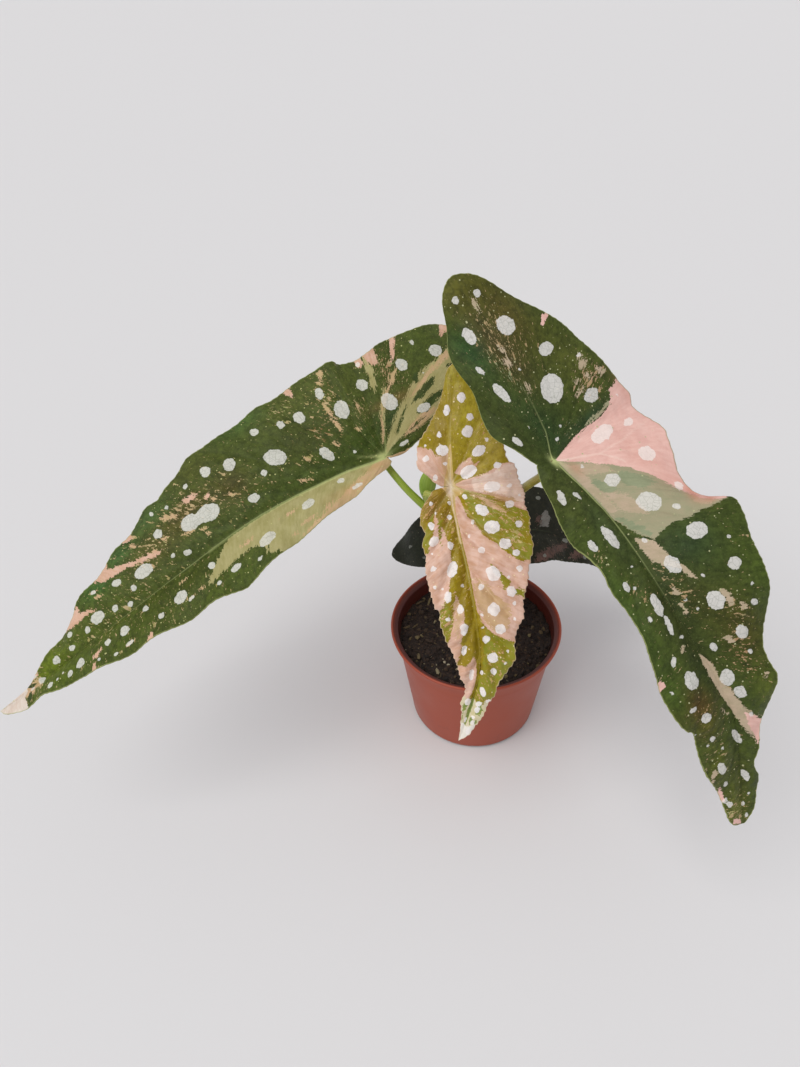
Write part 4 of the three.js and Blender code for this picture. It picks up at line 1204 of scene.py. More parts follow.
leaves["leaf_right"] = {
    "spine": [(-16, -10, 230), (5, -26, 211), (23, -38, 196), (39, -58, 187),
              (48, -79, 182), (60, -98, 168), (75, -111, 146), (83, -118, 128),
              (93, -130, 82)],
    "across": [(-90, -0.9, -0.33, -0.22), (0, -0.9, -0.38, -0.1), (100, -0.9, -0.35, -0.22),
               (200, -0.9, -0.25, -0.35)],
    "junction": 2,
    "fold": (6, 4),
    "wave": (1.5, 31, 10),
    "quilt": 0.85,
    "furrow": 3.0,
    "ridge": 6.5,
    "tooth": (0.35, 3.4),
    "halves": [
        {"shoulder": 25, "columns": 56, "margin": [
            (-0.4, 3), (-2.4, 6.1), (-7, 7.7), (-14, 9), (-23, 11), (-30, 9), (-40, 5),
            (-50, 3.5), (-58, 0.5), (-66, -5.5), (-75, -11), (-79.5, -19), (-76, -25.5),
            (-68, -30.5), (-57, -34.5), (-46, -38), (-35, -42), (-26, -43), (-14, -42.3),
            (-4, -43.3), (0.5, -44.5), (4, -41.5), (10, -41.5), (16, -42), (20, -40),
            (25, -37), (29, -34), (35, -33), (40, -35), (44, -39), (48, -42), (56, -42),
            (66, -39.5), (75, -37), (85, -34.5), (91, -31.5), (97, -26.5), (103, -21),
            (108, -19.7), (115, -20), (121, -16), (129, -11), (134, -8.8), (140, -7),
            (145, -5.2), (150, -6), (155, -7.5), (162, -6), (170, -4), (176.5, -0.5)]},
        {"shoulder": 12, "columns": 30, "margin": [
            (-0.35, 3), (-2.2, 6.1), (-2.5, 7.4), (2.4, 10.2), (8, 12.9), (15, 16),
            (22, 18.5), (30, 19.3), (40, 19.8), (46, 18), (51, 16.7), (58, 17), (66, 15.5),
            (75, 16), (81, 18), (90, 19.5), (97, 21), (106, 21.5), (113, 20), (117, 17.6),
            (125, 17), (134, 17), (140, 16), (146, 13.8), (152, 11.2), (158, 9.3), (166, 8),
            (171, 6.8), (174.5, 4.5), (176.5, -0.5)]},
    ],
    "veins": [
        [(0, 0), (-8, 2), (-20, 4), (-34, 5)],
        [(0, 0), (-8, -4), (-22, -8.5), (-40, -12), (-58, -15), (-74, -19)],
        [(0, 0), (-10, -10), (-24, -20), (-42, -30), (-54, -34)],
        [(0, 0), (-5, -12), (-12, -26), (-20, -41)],
        [(0, 0), (1, -14), (2, -28), (1, -42)],
        [(0, 0), (8, -11), (15, -24), (20, -38)],
        [(0, 0), (12, -11), (26, -23.5), (43, -36)],
        [(18, 0), (32, -9), (46, -22), (54, -40)],
        [(42, 0), (56, -9), (70, -22), (80, -35)],
        [(66, 0), (80, -8), (92, -19), (98, -25)],
        [(88, 0), (100, -7), (112, -18)],
        [(108, 0), (120, -5), (131, -10)],
        [(0, 0), (6, 6), (16, 12), (26, 18)],
        [(16, 0), (32, 7), (48, 16)],
        [(42, 0), (58, 8), (74, 15)],
        [(66, 0), (82, 8), (96, 19)],
        [(90, 0), (104, 8), (117, 17)],
        [(112, 0), (126, 7), (140, 15)],
        [(134, 0), (146, 5), (158, 9)],
    ],
    "pale_star": 0.0,
    "heart": (0.6, 0.7, 2.8, 1.2, 0.95),
    "pale_lines": [
        (0.75, 0.24, 16, [(0, 0.2), (-3, -1), (-10, -5), (-20, -8), (-30, -10)]),
        (0.6, 0.5, 6, [(0, 0), (3, -1.4), (8, -1.4)]),
        (0.7, 0.32, 60, [(2, -2), (6, -8), (10, -14), (18, -19)]),
        (0.6, 0.28, 60, [(10, -14), (11.5, -24), (11, -40)]),
        (0.35, 0.28, 60, [(12, -17), (18, -28), (19, -38)]),
    ],
}
right_patches = [
    ("flecks", "#b59a74"),
    ("sage", "#a39b7e", "#9a997a", 0.6),
    ("cream", "#bca890", "#aea084", 0.8),
    ("island", "#949a7a", "#878f70", 0.7),
    ("green", "#3c4620", "#454f26", 0.8),
    ("pink", "#dcaea3", "#e6bdb2", 0.4),
]
right_shapes = {
    "sage": [
        [(0, -0.4), (20, -0.4), (33, -0.4), (41, -3.5), (49, -8.5), (47, -11.5), (46, -14),
         (45.2, -18), (46, -21), (46.6, -25), (45.5, -30), (46.2, -34), (45.4, -41), (38, -38),
         (26, -31), (13, -20), (3, -7)],
        [(-1.6, -20), (-0.6, -22), (-0.8, -34), (-2, -34)],
    ],
    "cream": [
        [(1, -0.8), (10, -0.8), (32, -1.2), (31, -4), (26, -5), (19, -4.5), (13, -5), (5, -2.8)],
        [(22, -5), (31, -5), (36, -9), (37, -13), (33, -12.5), (28, -12), (24, -8)],
        [(6, -3), (12, -5), (16, -10), (18, -15), (13, -13), (8, -7.5)],
        [(36, -30), (41, -30.5), (44, -34), (45.5, -39.5), (41, -34.5)],
        [(45, -2.2), (51, -2), (55, -2.6), (58, -5.5), (60, -8), (63, -10.5), (67.5, -12),
         (68, -13.2), (63, -12.6), (58, -9.6), (50, -8.8), (46, -6)],
        [(66.5, -3), (70, -3.4), (70, -5.4), (67, -5)],
        [(73.5, -3), (76, -4.6), (79.5, -3.6), (77, -2.4)],
        [(75.5, -18.2), (80, -18), (85, -18.6), (82, -21), (78, -20)],
        [(84, -21.6), (88, -21.2), (89, -23.2), (86, -23.4)],
        [(92.5, -9.8), (96, -11), (96.5, -13), (93, -12)],
        [(92, 0.6), (97, 1.6), (103, 1.9), (110, 1.2), (116, 0.5), (122, -0.8), (128, -2.6),
         (134, -5.8), (137.5, -7.8), (133, -9.4), (129, -11), (126, -9), (123, -7), (119, -4.5),
         (112, -3), (104, -1.4), (98, -1.8)],
        [(141, 11.6), (147, 13.6), (149, 12.6), (143, 10.2)],
        [(115.5, 3.4), (118, 2.4), (119.5, 1.4), (117, 3.6)],
        [(-18.6, -34.6), (-16.4, -34), (-16.2, -37), (-18, -38.4), (-19.4, -37)],
        [(-13.6, -33), (-12, -33.6), (-12.2, -35.6), (-13.8, -35.2)],
        [(-11, -25.4), (-10, -24.8), (-10.2, -29.6), (-11.2, -30)],
        [(-42.6, -13.6), (-39, -12.8), (-38.4, -14.6), (-40.4, -16), (-42.4, -15.4)],
        [(-29.6, -14), (-26, -12), (-24.6, -12.2), (-28, -14.6)],
        [(-48, -16), (-44.6, -15), (-43, -16.4), (-46, -16.8)],
        [(-69, -20.6), (-64, -19), (-61.6, -19.6), (-66, -21)],
        [(-22.8, -36.4), (-20.4, -36.2), (-20.2, -38.6), (-22, -38.8)],
        [(-15.2, -28.6), (-13.8, -28.4), (-13.6, -31.2), (-15, -31)],
        [(-12.4, -38.8), (-9.6, -38.6), (-9, -41), (-12, -41)],
        [(85.6, 4.6), (87.8, 5.8), (88, 4.8), (86.4, 4.2)],
        [(112, -17), (114.4, -15.4), (115, -16.8), (113, -18)],
    ],
    "island": [
        [(15.5, -4.4), (21, -4.6), (24, -7), (24, -10.5), (19.5, -8.5), (17, -7)],
        [(19.5, -13.5), (25, -14), (28, -18), (29, -24.5), (23, -20.5), (19.5, -16.5)],
        [(33, -1), (40, -3.6), (48, -8.4), (44, -9.4), (38, -6), (33.5, -2.6)],
    ],
    "green": [
        [(48, -0.4), (62, -0.4), (63, -2), (58, -1.6), (54, -2.6), (50, -1.8)],
    ],
    "pink": [
        [(0.6, -0.2), (-0.6, -8), (-1.2, -14), (-0.8, -20), (-0.2, -27), (-1, -34),
         (-4.4, -38), (-4.8, -47), (16, -47), (34, -37), (45.5, -42), (44.6, -37.6), (40, -32.4),
         (33, -27.9), (27, -24.8), (20, -20), (13, -13.2), (7, -7), (3, -2.6)],
        [(122, -4.6), (128, -5), (138, -7.8), (129, -12), (125, -8)],
        [(-45.6, -40), (-44.8, -37), (-42.6, -34.6), (-41.6, -35), (-43, -37.6), (-43.4, -40)],
        [(90.5, 18.6), (93.5, 17.2), (94, 22), (91, 22)],
        [(151, 9.6), (154, 11), (160, 9.4), (160, 7.6), (155, 8.8)],
        [(171.5, 4.6), (174, 5), (175.6, 1.6), (173.6, 1.4)],
    ],
}
right_dots = [
    (-71.7, -15.4, 1.6), (-68.2, -23.7, 1.6), (-57.8, -10, 3.7, 2.2), (-44.8, -3.2, 2.2, 1.3, -12),
    (-33, -3.6, 4.8, 2.5), (-15.5, 5.2, 2.5, 1.3, -8), (-51.6, -23.7, 4.1, 3.5),
    (-34, -29.5, 2.8, 3.1), (-20, -20.3, 6.2, 4.8, 30), (-7, -30.2, 2.2, 3.3),
    (-35, -15.8, 0.7), (-4.8, -7.3, 0.5, 0.9), (-7.5, -12, 0.6), (-16, -1.5, 0.6),
    (-21.5, -37.6, 1), (-1.4, -38.8, 0.7), (4.5, -22.5, 2.6, 5.3), (7.2, -34.2, 1.2, 2.3),
    (19.5, -29.7, 2.9, 3.1), (20, -11.3, 2.6, 3.1), (9, -6.5, 0.8), (33.2, -16, 4, 4.5),
    (39.3, -23.3, 1.5), (33.2, -29.5, 1.5), (47, -5.2, 1.4, 0.8), (14.6, 10.2, 3.8, 1.5, 25),
    (17.3, 4.4, 2.5, 0.8), (40.2, 5.3, 5.5, 1.9), (41.5, 13.4, 2.7, 1.5), (52.8, -23.8, 3.5, 4),
    (59, 11.2, 1.9, 1.1), (72.2, 10, 1.1, 0.8), (69.2, 4.7, 4.2, 1.7, 8),
    (77.3, 4.8, 3.8, 1.1, 8), (88.3, 10.6, 1.9, 1.1, 40), (98.4, 8.6, 3.8, 2.6),
    (108.7, 13.5, 1, 1.5), (97.2, 17.2, 1.5, 0.7), (114.8, 10.4, 2.1), (125.9, 10.4, 1.6, 1),
    (142.5, 8.2, 3.3, 1.7, -12), (151.5, 7, 1.3, 1), (159.5, 7.8, 1.2), (162.8, 6, 1.9, 1.1, -35),
    (131.2, 0.2, 4.2, 1.4, -20), (151.2, -1.7, 3.4, 1.3, -20), (165.8, -0.3, 1.3, 0.8),
    (172.2, -1.3, 1.2, 0.6), (161.2, -2.7, 0.9, 0.7), (59.7, -8.7, 3.7, 2.7, -10),
    (106.3, -4, 3.3, 2.6), (113.8, -5.7, 2.8, 2, -25), (93.2, -5.2, 1.7, 1.3),
    (72.8, -5.6, 0.6, 0.9), (78.1, -7.8, 0.7), (68.6, -15.8, 0.7), (79.1, -15, 4, 3.2),
    (94.8, -16.8, 2.6, 2.3), (102.7, -15.8, 0.9), (70.8, -28.3, 2.5), (88.2, -26.4, 1.3),
    (81.5, -29.7, 0.7), (60.9, -32.2, 0.8), (123.8, -6.7, 0.9), (128, 12.8, 0.6),
    (133, 7, 0.8, 0.5), (119, 16.6, 0.6), (60.5, 8.6, 0.6), (53.6, 4.8, 0.6), (83, 3, 0.7),
]
right_clouds = {
    # The darker washes beside the midrib on the wide half, from s = 50 to 90, are painted shade.
    "ground": [
        "#4a5725", (-10, -6, 20, 9, "#354c29", 0.85), (-54, -7, 13, 6, "#2d5228", 0.9),
        (-22, 4, 26, 5, "#434b22", 0.7), (-74, -18, 12, 12, "#686625", 0.85),
        (-54, -27, 18, 8, "#5f5426", 0.8), (-46, -16, 20, 6, "#524729", 0.85),
        (-24, -33, 18, 10, "#5c6028", 0.7), (-2, -24, 2.5, 12, "#33492f", 0.9),
        (14, 10, 12, 7, "#525829", 0.6), (36, 4, 18, 4, "#475633", 0.6),
        (56, -18, 10, 12, "#394c2b", 0.85), (60, -36, 16, 6, "#4b5824", 0.6),
        (76, -10, 14, 7, "#42441e", 0.7), (94, -18, 14, 8, "#534e1f", 0.75),
        (82, 2, 22, 4, "#3f431f", 0.7), (109, 12, 8, 8, "#5f4426", 0.85),
        (120, 12, 6, 6, "#625c24", 0.6), (141, 10, 12, 6, "#656a2a", 0.7),
        (152, 1, 14, 6, "#555a22", 0.6), (168, 3, 9, 5, "#757a2e", 0.8),
        (118, -16, 8, 5, "#5f6a26", 0.8), (66, 15, 20, 4, "#4b6126", 0.7),
        (102, 17, 14, 4, "#4f6826", 0.6), (74, -36, 18, 5, "#4f6024", 0.7),
        (100, 3, 18, 3, "#36421f", 0.6), (70, -2, 16, 3, "#333f20", 0.6),
    ],
    "fleck": [
        0.15, (-11, -34, 7, 8, 1.0, 1), (-36, -11.5, 14, 2.5, 1.0, 1),
        (-50, -19, 20, 9, 0.8, 1), (-5, -14, 3, 8, 0.5, 1), (57, -2.5, 9, 3, 0.9, 1),
        (70, -6, 10, 5, 0.85, 1), (101, -13, 12, 7, 0.85, 1), (112, 10, 8, 9, 0.6, 1),
        (66, 7, 10, 4, 0.6, 1), (166, 3, 12, 7, 0.85, 1), (92, 14, 10, 6, 0.4, 1),
        (-70, -16, 8, 8, 0.35, 1), (60, -36, 16, 6, 0.35, 1), (132, 10, 14, 7, 0.62, 1),
        (47, 15, 4, 4, 0.85, 1), (86, -20, 8, 5, 0.8, 1), (-25, -4, 18, 5, 0.35, 1),
    ],
    "fleck_tone": [
        "#989468", (-36, -11, 14, 4, "#8d9a72", 1), (-40, -15, 6, 2, "#a3946e", 1),
        (-48, -24, 16, 9, "#9c865c", 1), (-11, -34, 8, 10, "#c2a184", 1),
        (-5, -14, 4, 8, "#869474", 1), (57, -2, 10, 4, "#a69c78", 1),
        (72, -7, 10, 5, "#a88f6c", 1), (101, -13, 14, 8, "#a5805e", 1),
        (112, 10, 9, 9, "#a5835f", 1), (66, 7, 10, 4, "#9e8860", 1),
        (166, 3, 14, 7, "#b5ad72", 1), (120, -15, 7, 5, "#a89a50", 1),
    ],
    "blush": [
        0.0, (37, -31.6, 4.5, 2.2, 0.7, 1), (42, -35.6, 2.4, 2.6, 0.6, 1),
        (20, -27, 12, 4, 0.18, 1), (8, -4, 4, 2, 0.35, 1), (0, -43, 6, 2, 0.25, 1),
    ],
}
right_tones = {
    "deep": "#0e1607", "grain": "#737f4c", "furrow": "#17220d", "rust": "#4f4424",
    "blush": "#c47f66", "vein": "#b6c080", "speck": "#b7b78c", "dot": "#e4e2de",
    "dot_mark": "#b0b2ab", "dot_film": 0.21, "rim": "#a9b070",
}
right_upper = waxy_skin("waxy_skin_right", right_patches, right_tones, 75, 0.5, 0.14)
right_under = under_skin("under_skin_right", [
    ("sage", "#a8786a", "#b48a76", 0.7), ("pink", "#d09a92", "#c88e86", 0.45),
    ("dots", "#8f5a50", "#9a6659", 0.3)], ("#582426", "#70322e"), "#8e8a4e")
make_blade("leaf_right", [right_upper, right_under], right_clouds, right_dots,
           right_shapes)

# ---------------------------------------------------------------- centre leaf
# The youngest blade, of tender tissue that hasn't greened yet, on the stalk from the cane's top.
# It is mustard and lime with pink wedges, sharply toothed and puckered, and its tip is white.

leaves["leaf_centre"] = {
    "spine": [(-14, 8, 197), (-15, -14, 167), (-13, -28, 154), (-10, -42, 143),
              (-7, -56, 126), (-6, -66, 105), (-13, -76, 80), (-16, -80, 73)],
    "across": [(-60, -1, 0, 0), (120, -1, 0, 0)],
    "junction": 1,
    "fold": (6, 6),
    "wave": (0.8, 14, 2),
    "quilt": 1.6,
    "furrow": 2.1,
    "ridge": 4.3,
    "tooth": (0.95, 2.9),
    "halves": [
        {"shoulder": 20, "columns": 46, "margin": [
            (0, 4), (-2, 7.2), (-4.5, 9.6), (-6, 11.6), (-8.5, 14.5), (-13, 14.2),
            (-17, 14.3), (-21, 12.5), (-25, 9.8), (-30, 7.2), (-36, 4.5), (-43, 2.5),
            (-50, 1), (-52.5, -3), (-49, -9), (-42, -14), (-33, -18), (-24, -20),
            (-17.5, -23), (-11, -24.5), (-8.5, -27.5), (-3, -29), (3, -30.3), (9, -31),
            (15, -30.3), (21, -31), (28, -29.8), (34, -29.3), (41, -26), (47, -24),
            (54, -21), (60, -20), (66, -16.5), (72, -15), (77, -15), (82, -12), (88, -9),
            (93, -8.8), (98, -7), (104, -6.4), (110, -4.8), (115, -3), (119, 0)]},
        {"shoulder": 12, "columns": 30, "margin": [
            (1, 4.5), (1.8, 7.9), (4, 9.8), (7, 12.5), (10, 14.5), (15, 15.4), (19, 14.4),
            (23, 16.4), (29, 16.2), (34, 17.6), (40, 17.6), (50, 16.8), (53, 15),
            (58, 15.5), (67, 13.8), (73, 11.8), (80, 10), (87, 7.9), (90, 5.5), (95, 4),
            (99.5, 4.8), (105, 2.9), (112, 1.5), (119, 0)]},
    ],
    "veins": [
        [(0, 0), (-10, 1.5), (-24, 0.5), (-44, -2)],
        [(0, 0), (-5, 4), (-12, 9), (-16, 13.5)],
        [(0, 0), (-8, -4.5), (-20, -9), (-36, -15)],
        [(0, 0), (-5, -8), (-11, -15), (-17, -22)],
        [(0, 0), (0, -9), (-1, -19), (-1, -29)],
        [(0, 0), (4, -10), (9, -18), (16, -29)],
        [(2, 0), (12, -5), (24, -13), (36, -26)],
        [(16, 0), (27, -6), (40, -15), (50, -22)],
        [(34, 0), (44, -5), (56, -12), (64, -18)],
        [(52, 0), (62, -5), (74, -12)],
        [(70, 0), (80, -5), (90, -9)],
        [(2, 0), (7, 5), (13, 11)],
        [(8, 0), (18, 5), (28, 13)],
        [(22, 0), (34, 6), (46, 14)],
        [(38, 0), (50, 6), (62, 13)],
        [(56, 0), (68, 5), (80, 9)],
        [(74, 0), (84, 3), (94, 4)],
    ],
    "pale_star": 0.45,
    "heart": (1, 0.8, 4, 1.5, 0.9),
    "pale_lines": [
        (0.5, 0.28, 30, [(0, 0), (-20, 0.1), (-48, 0.3)]),
        (0.6, 0.5, 20, [(1, 0), (2, -4), (4, -9), (8, -14)]),
        (0.4, 0.35, 60, [(12, -5), (22, -9), (33, -19), (38, -26)]),
        (0.35, 0.35, 60, [(24, -4), (36, -11), (46, -20), (52, -22)]),
        (0.35, 0.35, 80, [(42, -4), (54, -11), (63, -18)]),
        (0.35, 0.35, 60, [(16, 4), (28, 11), (36, 16)]),
        (0.35, 0.35, 80, [(30, 4), (42, 11), (50, 15)]),
    ],
}
centre_patches = [
    ("lime", "#93841c", "#8a8e2a", 0.7),
    ("flecks", "#cfa67a"),
    ("pink", "#e2bfad", "#d2a68c", 0.4),
    # Painted light: the pink wedge beside the lobe is painted paler, as if lit, though it faces
    # away from the light.
    ("painted_light_pink", "#ecd5c6", "#e0c0ab", 0.5),
    ("tan", "#c5a478", "#d0ad8a", 1.2),
    ("streak", "#93821c", "#8a8c24", 0.6),
    ("heart", "#cfb878", "#c6a45c", 0.35),
    ("pale_tip", "#d9cfb4", "#cfc496", 0.5),
    ("tip_green", "#8f9a48", "#7f8f4a", 0.3),
    ("white_tip", "#eae6dc", "#e2dccf", 0.3),
]
centre_shapes = {
    "lime": [
        [(1.5, -3), (4, -4.5), (8, -6), (11, -6.5), (15, -7.5), (19, -8), (24, -11), (28, -14),
         (31, -16), (34, -19), (37, -22), (38.5, -26), (38, -32), (18, -33), (15, -26),
         (10, -20), (7, -16), (5, -12), (3, -8)],
        [(60, -4), (66, -6), (68, -10), (72, -17), (100, -12), (112, -7), (112, 0), (90, -0.5),
         (72, -2)],
        [(50, 12), (55, 9.5), (62, 11), (66, 14), (60, 17), (53, 16)],
    ],
    "heart": [
        [(-18, 0.5), (-8, 1.4), (-3, 2.8), (1, 3.4), (4, 2), (7, 0.6), (14, 0.5), (26, 0.4),
         (26, -0.5), (12, -0.7), (5, -1.6), (4.4, -4), (3, -6), (2, -3.4), (-2, -1.4),
         (-8, -1), (-18, -0.4)],
    ],
    "pale_tip": [
        [(95, 7), (99, 8), (122, 4), (122, -4), (110, -9), (96, -11), (93, -10), (97, -5.4),
         (100, -4), (97, -0.6), (98, 1.4)],
    ],
    "tip_green": [
        [(97, 0.3), (103, 0.9), (110, 0.5), (117, 0.3), (117, -0.4), (110, -0.7), (103, -1),
         (97, -1)],
        [(98, 2.2), (101, 3.4), (104.5, 3), (103, 1.6), (100, 1.4)],
        [(104.8, 2.4), (107, 3), (109.6, 2), (107.4, 1.6)],
        [(99, -4.4), (102, -5.8), (104.6, -5.4), (104, -3.4), (101, -2.4)],
        [(105, -2), (107.4, -3), (110.4, -2.2), (108, -1.4)],
        [(106.4, -4.2), (108, -5), (110, -4.2), (108, -3.8)],
    ],
    "pink": [
        [(-17, 17), (-8, 17), (-5.5, 12.5), (-3, 9), (0, 5.5), (2, 2.5), (-1, 1.5), (-6, 0.6),
         (-12, 0.5), (-15, 1.2), (-13, 3), (-13, 6), (-15.5, 8), (-16.6, 11)],
        [(-9.8, -4.6), (-5.5, -1.6), (-4.6, -4), (-4.5, -8), (-7, -10.5), (-10.5, -12.5),
         (-9.5, -10), (-12.4, -9)],
        [(-0.4, -1.5), (-2, -5), (-3, -9), (-4, -13), (-6, -17), (-8, -20), (-9.6, -23),
         (-10, -33), (19, -33), (15.6, -27), (10.5, -22), (8, -19), (6, -16), (4.6, -12),
         (3, -8), (1.2, -4)],
        [(3, -1), (12, -0.8), (30, -1), (46, -1), (55, -1), (62, -3), (66, -6), (68, -10),
         (72, -17), (60, -24), (46, -28), (39, -30), (38, -23), (34, -18.5), (30, -15),
         (25, -11), (19, -7.6), (14, -5), (8, -4), (4, -2.5)],
        [(11, 8.6), (18, 10), (22, 13), (27, 15.5), (30, 19), (52, 19), (53.6, 15.6), (50, 12.5),
         (45, 9.5), (40, 7.6), (33, 5.8), (27, 5.2), (21, 5.6), (16, 7)],
        [(45.5, 6.8), (50, 6), (56, 4.6), (62, 5.6), (68, 7.8), (74, 8.6), (79, 10.4),
         (81, 13), (70, 14.6), (64, 11.6), (58, 9.6), (51, 8.8)],
        [(75, 2.8), (79, 4.6), (81, 6.2), (80.4, 9.4), (84, 10), (90, 7), (93, 5), (99, 6.4),
         (102, 3.4), (98, 2), (92, 1), (86, 1), (80, 1.6)],
    ],
    # Painted light: the outline of the pink wedge that is painted paler, as if lit.
    "painted_light_pink": [
        [(-2, -9), (3, -10), (5, -16), (7, -22), (12, -26), (14, -33), (-9, -33), (-9, -24),
         (-5, -18)],
    ],
    "tan": [
        [(-14, 5), (-8, 3.6), (-1.5, 2.4), (-3, 1), (-12, 0.6), (-15, 1.6)],
        [(44, -1.5), (54, -1.6), (61, -4), (66, -8), (64, -14), (56, -15), (48, -9), (42, -5)],
        [(46, 7), (50, 6.2), (57, 5.4), (66, 9), (60, 9.8), (52, 8.6)],
        [(4, -14), (8, -19), (12, -24), (13.5, -28), (10, -26), (6, -19)],
        [(4, -8), (9, -12.6), (15, -18.5), (17, -21.6), (13, -19.6), (7, -14)],
    ],
    "streak": [
        [(37, -9.4), (41, -11), (44, -13), (48.4, -14), (46.6, -17.2), (43, -15.5), (39, -12)],
        [(48, -18.6), (51, -18), (53.4, -23), (50.4, -23)],
        [(11.5, 9.4), (17, 11), (23, 13), (27, 15.4), (24, 17.5), (20, 15), (14, 11.6)],
        [(14, 5.6), (20, 7.8), (25, 8.6), (19, 8.8), (14, 7.4)],
        [(98, 0.6), (100, 2.6), (103, 2.6), (103, 0.8)],
        [(105, 2.4), (108, 2.8), (110, 1.4), (107, 1)],
        [(103, -2), (105, -3.6), (109, -0.8), (106, -0.6)],
    ],
    "white_tip": [
        [(110, 4), (122, 2), (122, -3), (112, -6), (109, -5), (111.5, -1), (110, 0.6)],
    ],
}
centre_dots = [
    (-32.5, 1.6, 2.4, 1.3, 5), (-37.9, -4.8, 2.1, 1.9), (-29.5, -8.4, 1.5),
    (-23.4, -7.5, 2.7, 2.2, 15), (-22.1, 4.8, 1.4, 1.1), (-15.4, 3.5, 2.4, 2.7),
    (-11.9, 10.6, 1.4), (-17.6, 10.8, 0.5), (-3.9, 6.6, 1.3, 1), (-5.9, -7.9, 3.9, 2.7, 50),
    (-15, -12.4, 3.1, 2.2, 55), (-19.9, -15.8, 0.8), (-8.4, -20.3, 1.5, 1.7),
    (1.9, -17.8, 2.8, 3.6), (2.2, -25.2, 1.2), (5.5, -5.7, 1.1), (13.1, -11.9, 3.2, 2.3, -40),
    (21.6, -14.5, 3.2, 3.4), (12.9, -24, 2), (22.8, -25.9, 1.7, 1.5), (30.3, -18.4, 2.3, 2.6),
    (34.8, -22, 1.3, 1.5), (30.6, -7.8, 1.5), (23.6, -4.3, 0.9, 0.7), (17.5, -6.8, 1.2, 0.6),
    (8.8, -29, 0.7), (15.9, 11, 1.8, 1.4), (22.7, 11.3, 2.5, 1.7, 40), (13.6, 2.7, 1.3, 1.1),
    (25.6, 4.8, 1.9, 1.2), (27.8, 13.2, 0.7), (7.4, 1.5, 0.8), (10.9, 8, 0.8, 0.6),
    (6.9, 9.6, 0.7), (-9.7, 2.3, 0.8), (35.9, 6.3, 3.6, 2.3, 25), (47.3, 10.4, 2.6, 1.4, 15),
    (53.6, 5.9, 2, 1.6), (62.5, 5.7, 2.9, 1.6, 12), (72.3, 6.8, 2.6, 1.3, 12), (43.4, 3.4, 0.9),
    (85.3, 3.3, 2.8, 1.2), (56.9, 12.1, 1), (34.1, 14.3, 1.2), (41.9, 15.3, 0.7),
    (43.4, 12.1, 0.6), (99.1, 1.9, 1.8, 1.3), (108.4, 0.3, 1.4, 0.8), (41.1, -10.6, 3.4, 2.7, -35),
    (45.6, -4.3, 1.3), (55.8, -8.1, 2.8, 2.5), (64.4, -9.8, 2.3), (68.3, -3.2, 1.6),
    (76.8, -5.6, 2.2, 2.4), (82.6, -6, 1.5), (83.9, -1.3, 0.8), (49.7, -16.7, 2),
    (41.1, -21.9, 1.3), (54.4, -17.1, 0.8), (43.9, -16.6, 0.7), (74.3, -11.9, 0.7),
    (78.9, -10.9, 0.6), (92.7, -3.4, 2.5, 1.2, -25), (98.9, -3.3, 1.3), (101.8, -3.4, 1.5, 1.2),
    (106.1, -2.9, 0.9), (108.8, -3.1, 1.3, 1), (113.4, -2.3, 1.8, 1), (60.6, -16.3, 0.7),
    (57.3, -2.8, 0.6), (62.6, -2.6, 0.6), (96.3, -6.8, 1),
]
centre_clouds = {
    "ground": [
        "#a38f16", (-34, -8, 20, 8, "#b2a42c", 0.9), (-48, 0, 6, 5, "#aca43c", 0.7),
        (-33, -10, 9, 4, "#c6b840", 0.8), (-18, -18, 9, 6, "#cdbb5c", 0.8),
        (-26, 4, 16, 4, "#97801e", 0.85), (9, 10, 4, 4, "#a89c40", 0.6),
        (8, 9, 9, 6, "#93702a", 0.85), (60, 12, 10, 5, "#8f8a2a", 0.6),
        (50, 3, 40, 2.5, "#957c10", 0.7), (80, 1, 14, 3, "#8c7e14", 0.5),
        (84, -9, 10, 5, "#909438", 0.6),
    ],
    "fleck": [
        0.35, (-38, -2, 14, 8, 0.45, 1), (26, -9, 8, 4, 0.9, 1), (10, 10, 7, 5, 0.95, 1),
        (58, 12, 8, 4, 0.95, 1), (36, 2, 26, 3, 0.6, 1), (16, 3, 10, 3, 0.85, 1),
        (-24, -14, 10, 8, 0.66, 1), (103, 0, 12, 8, 0.75, 1), (26, -24, 12, 7, 0.95, 1),
        (12, -16, 6, 5, 0.9, 1), (78, -8, 14, 7, 0.7, 1), (12, -10, 6, 4, 0.6, 1),
    ],
    "fleck_tone": [
        "#c6b05e", (26, -22, 14, 8, "#bdb270", 1), (12, -16, 8, 6, "#c8a878", 1),
        (10, 9, 8, 7, "#c2945c", 1), (58, 12, 8, 4, "#c9a878", 1), (-20, -19, 8, 4, "#bcb878", 1),
    ],
    "blush": [
        0.0, (-5, 3.5, 8, 2.5, 0.4, 1), (30, -2, 22, 1.2, 0.2, 1), (-8.5, -9, 1.6, 3, 0.4, 1),
        (10, -22, 4, 4, 0.4, 1), (1, -3, 2, 3, 0.3, 1), (28, -12, 8, 2, 0.25, 1),
        (50, -12, 6, 4, 0.2, 1), (76, 9, 6, 2, 0.2, 1),
    ],
}
centre_tones = {
    "deep": "#6e5a06", "grain": "#bcaa44", "furrow": "#a8942c", "rust": "#7c6418",
    "blush": "#b8844e", "vein": "#d8cc96", "speck": "#ecdcae", "dot": "#f1ecea",
    "dot_mark": "#d6cfce", "dot_film": 0.0, "rim": "#e0c4a8",
}
centre_upper = waxy_skin("waxy_skin_centre", centre_patches, centre_tones, 60, 0.36, 0.34)
centre_under = under_skin("under_skin_centre", [
    ("lime", "#a07a44", "#967a40", 0.8), ("pink", "#dca593", "#d39a88", 0.45),
    ("dots", "#c9a08c", "#c09a86", 0.3)], ("#8f5a2e", "#a0683a"), "#b9b46a")
make_blade("leaf_centre", [centre_upper, centre_under], centre_clouds,
           centre_dots, centre_shapes)
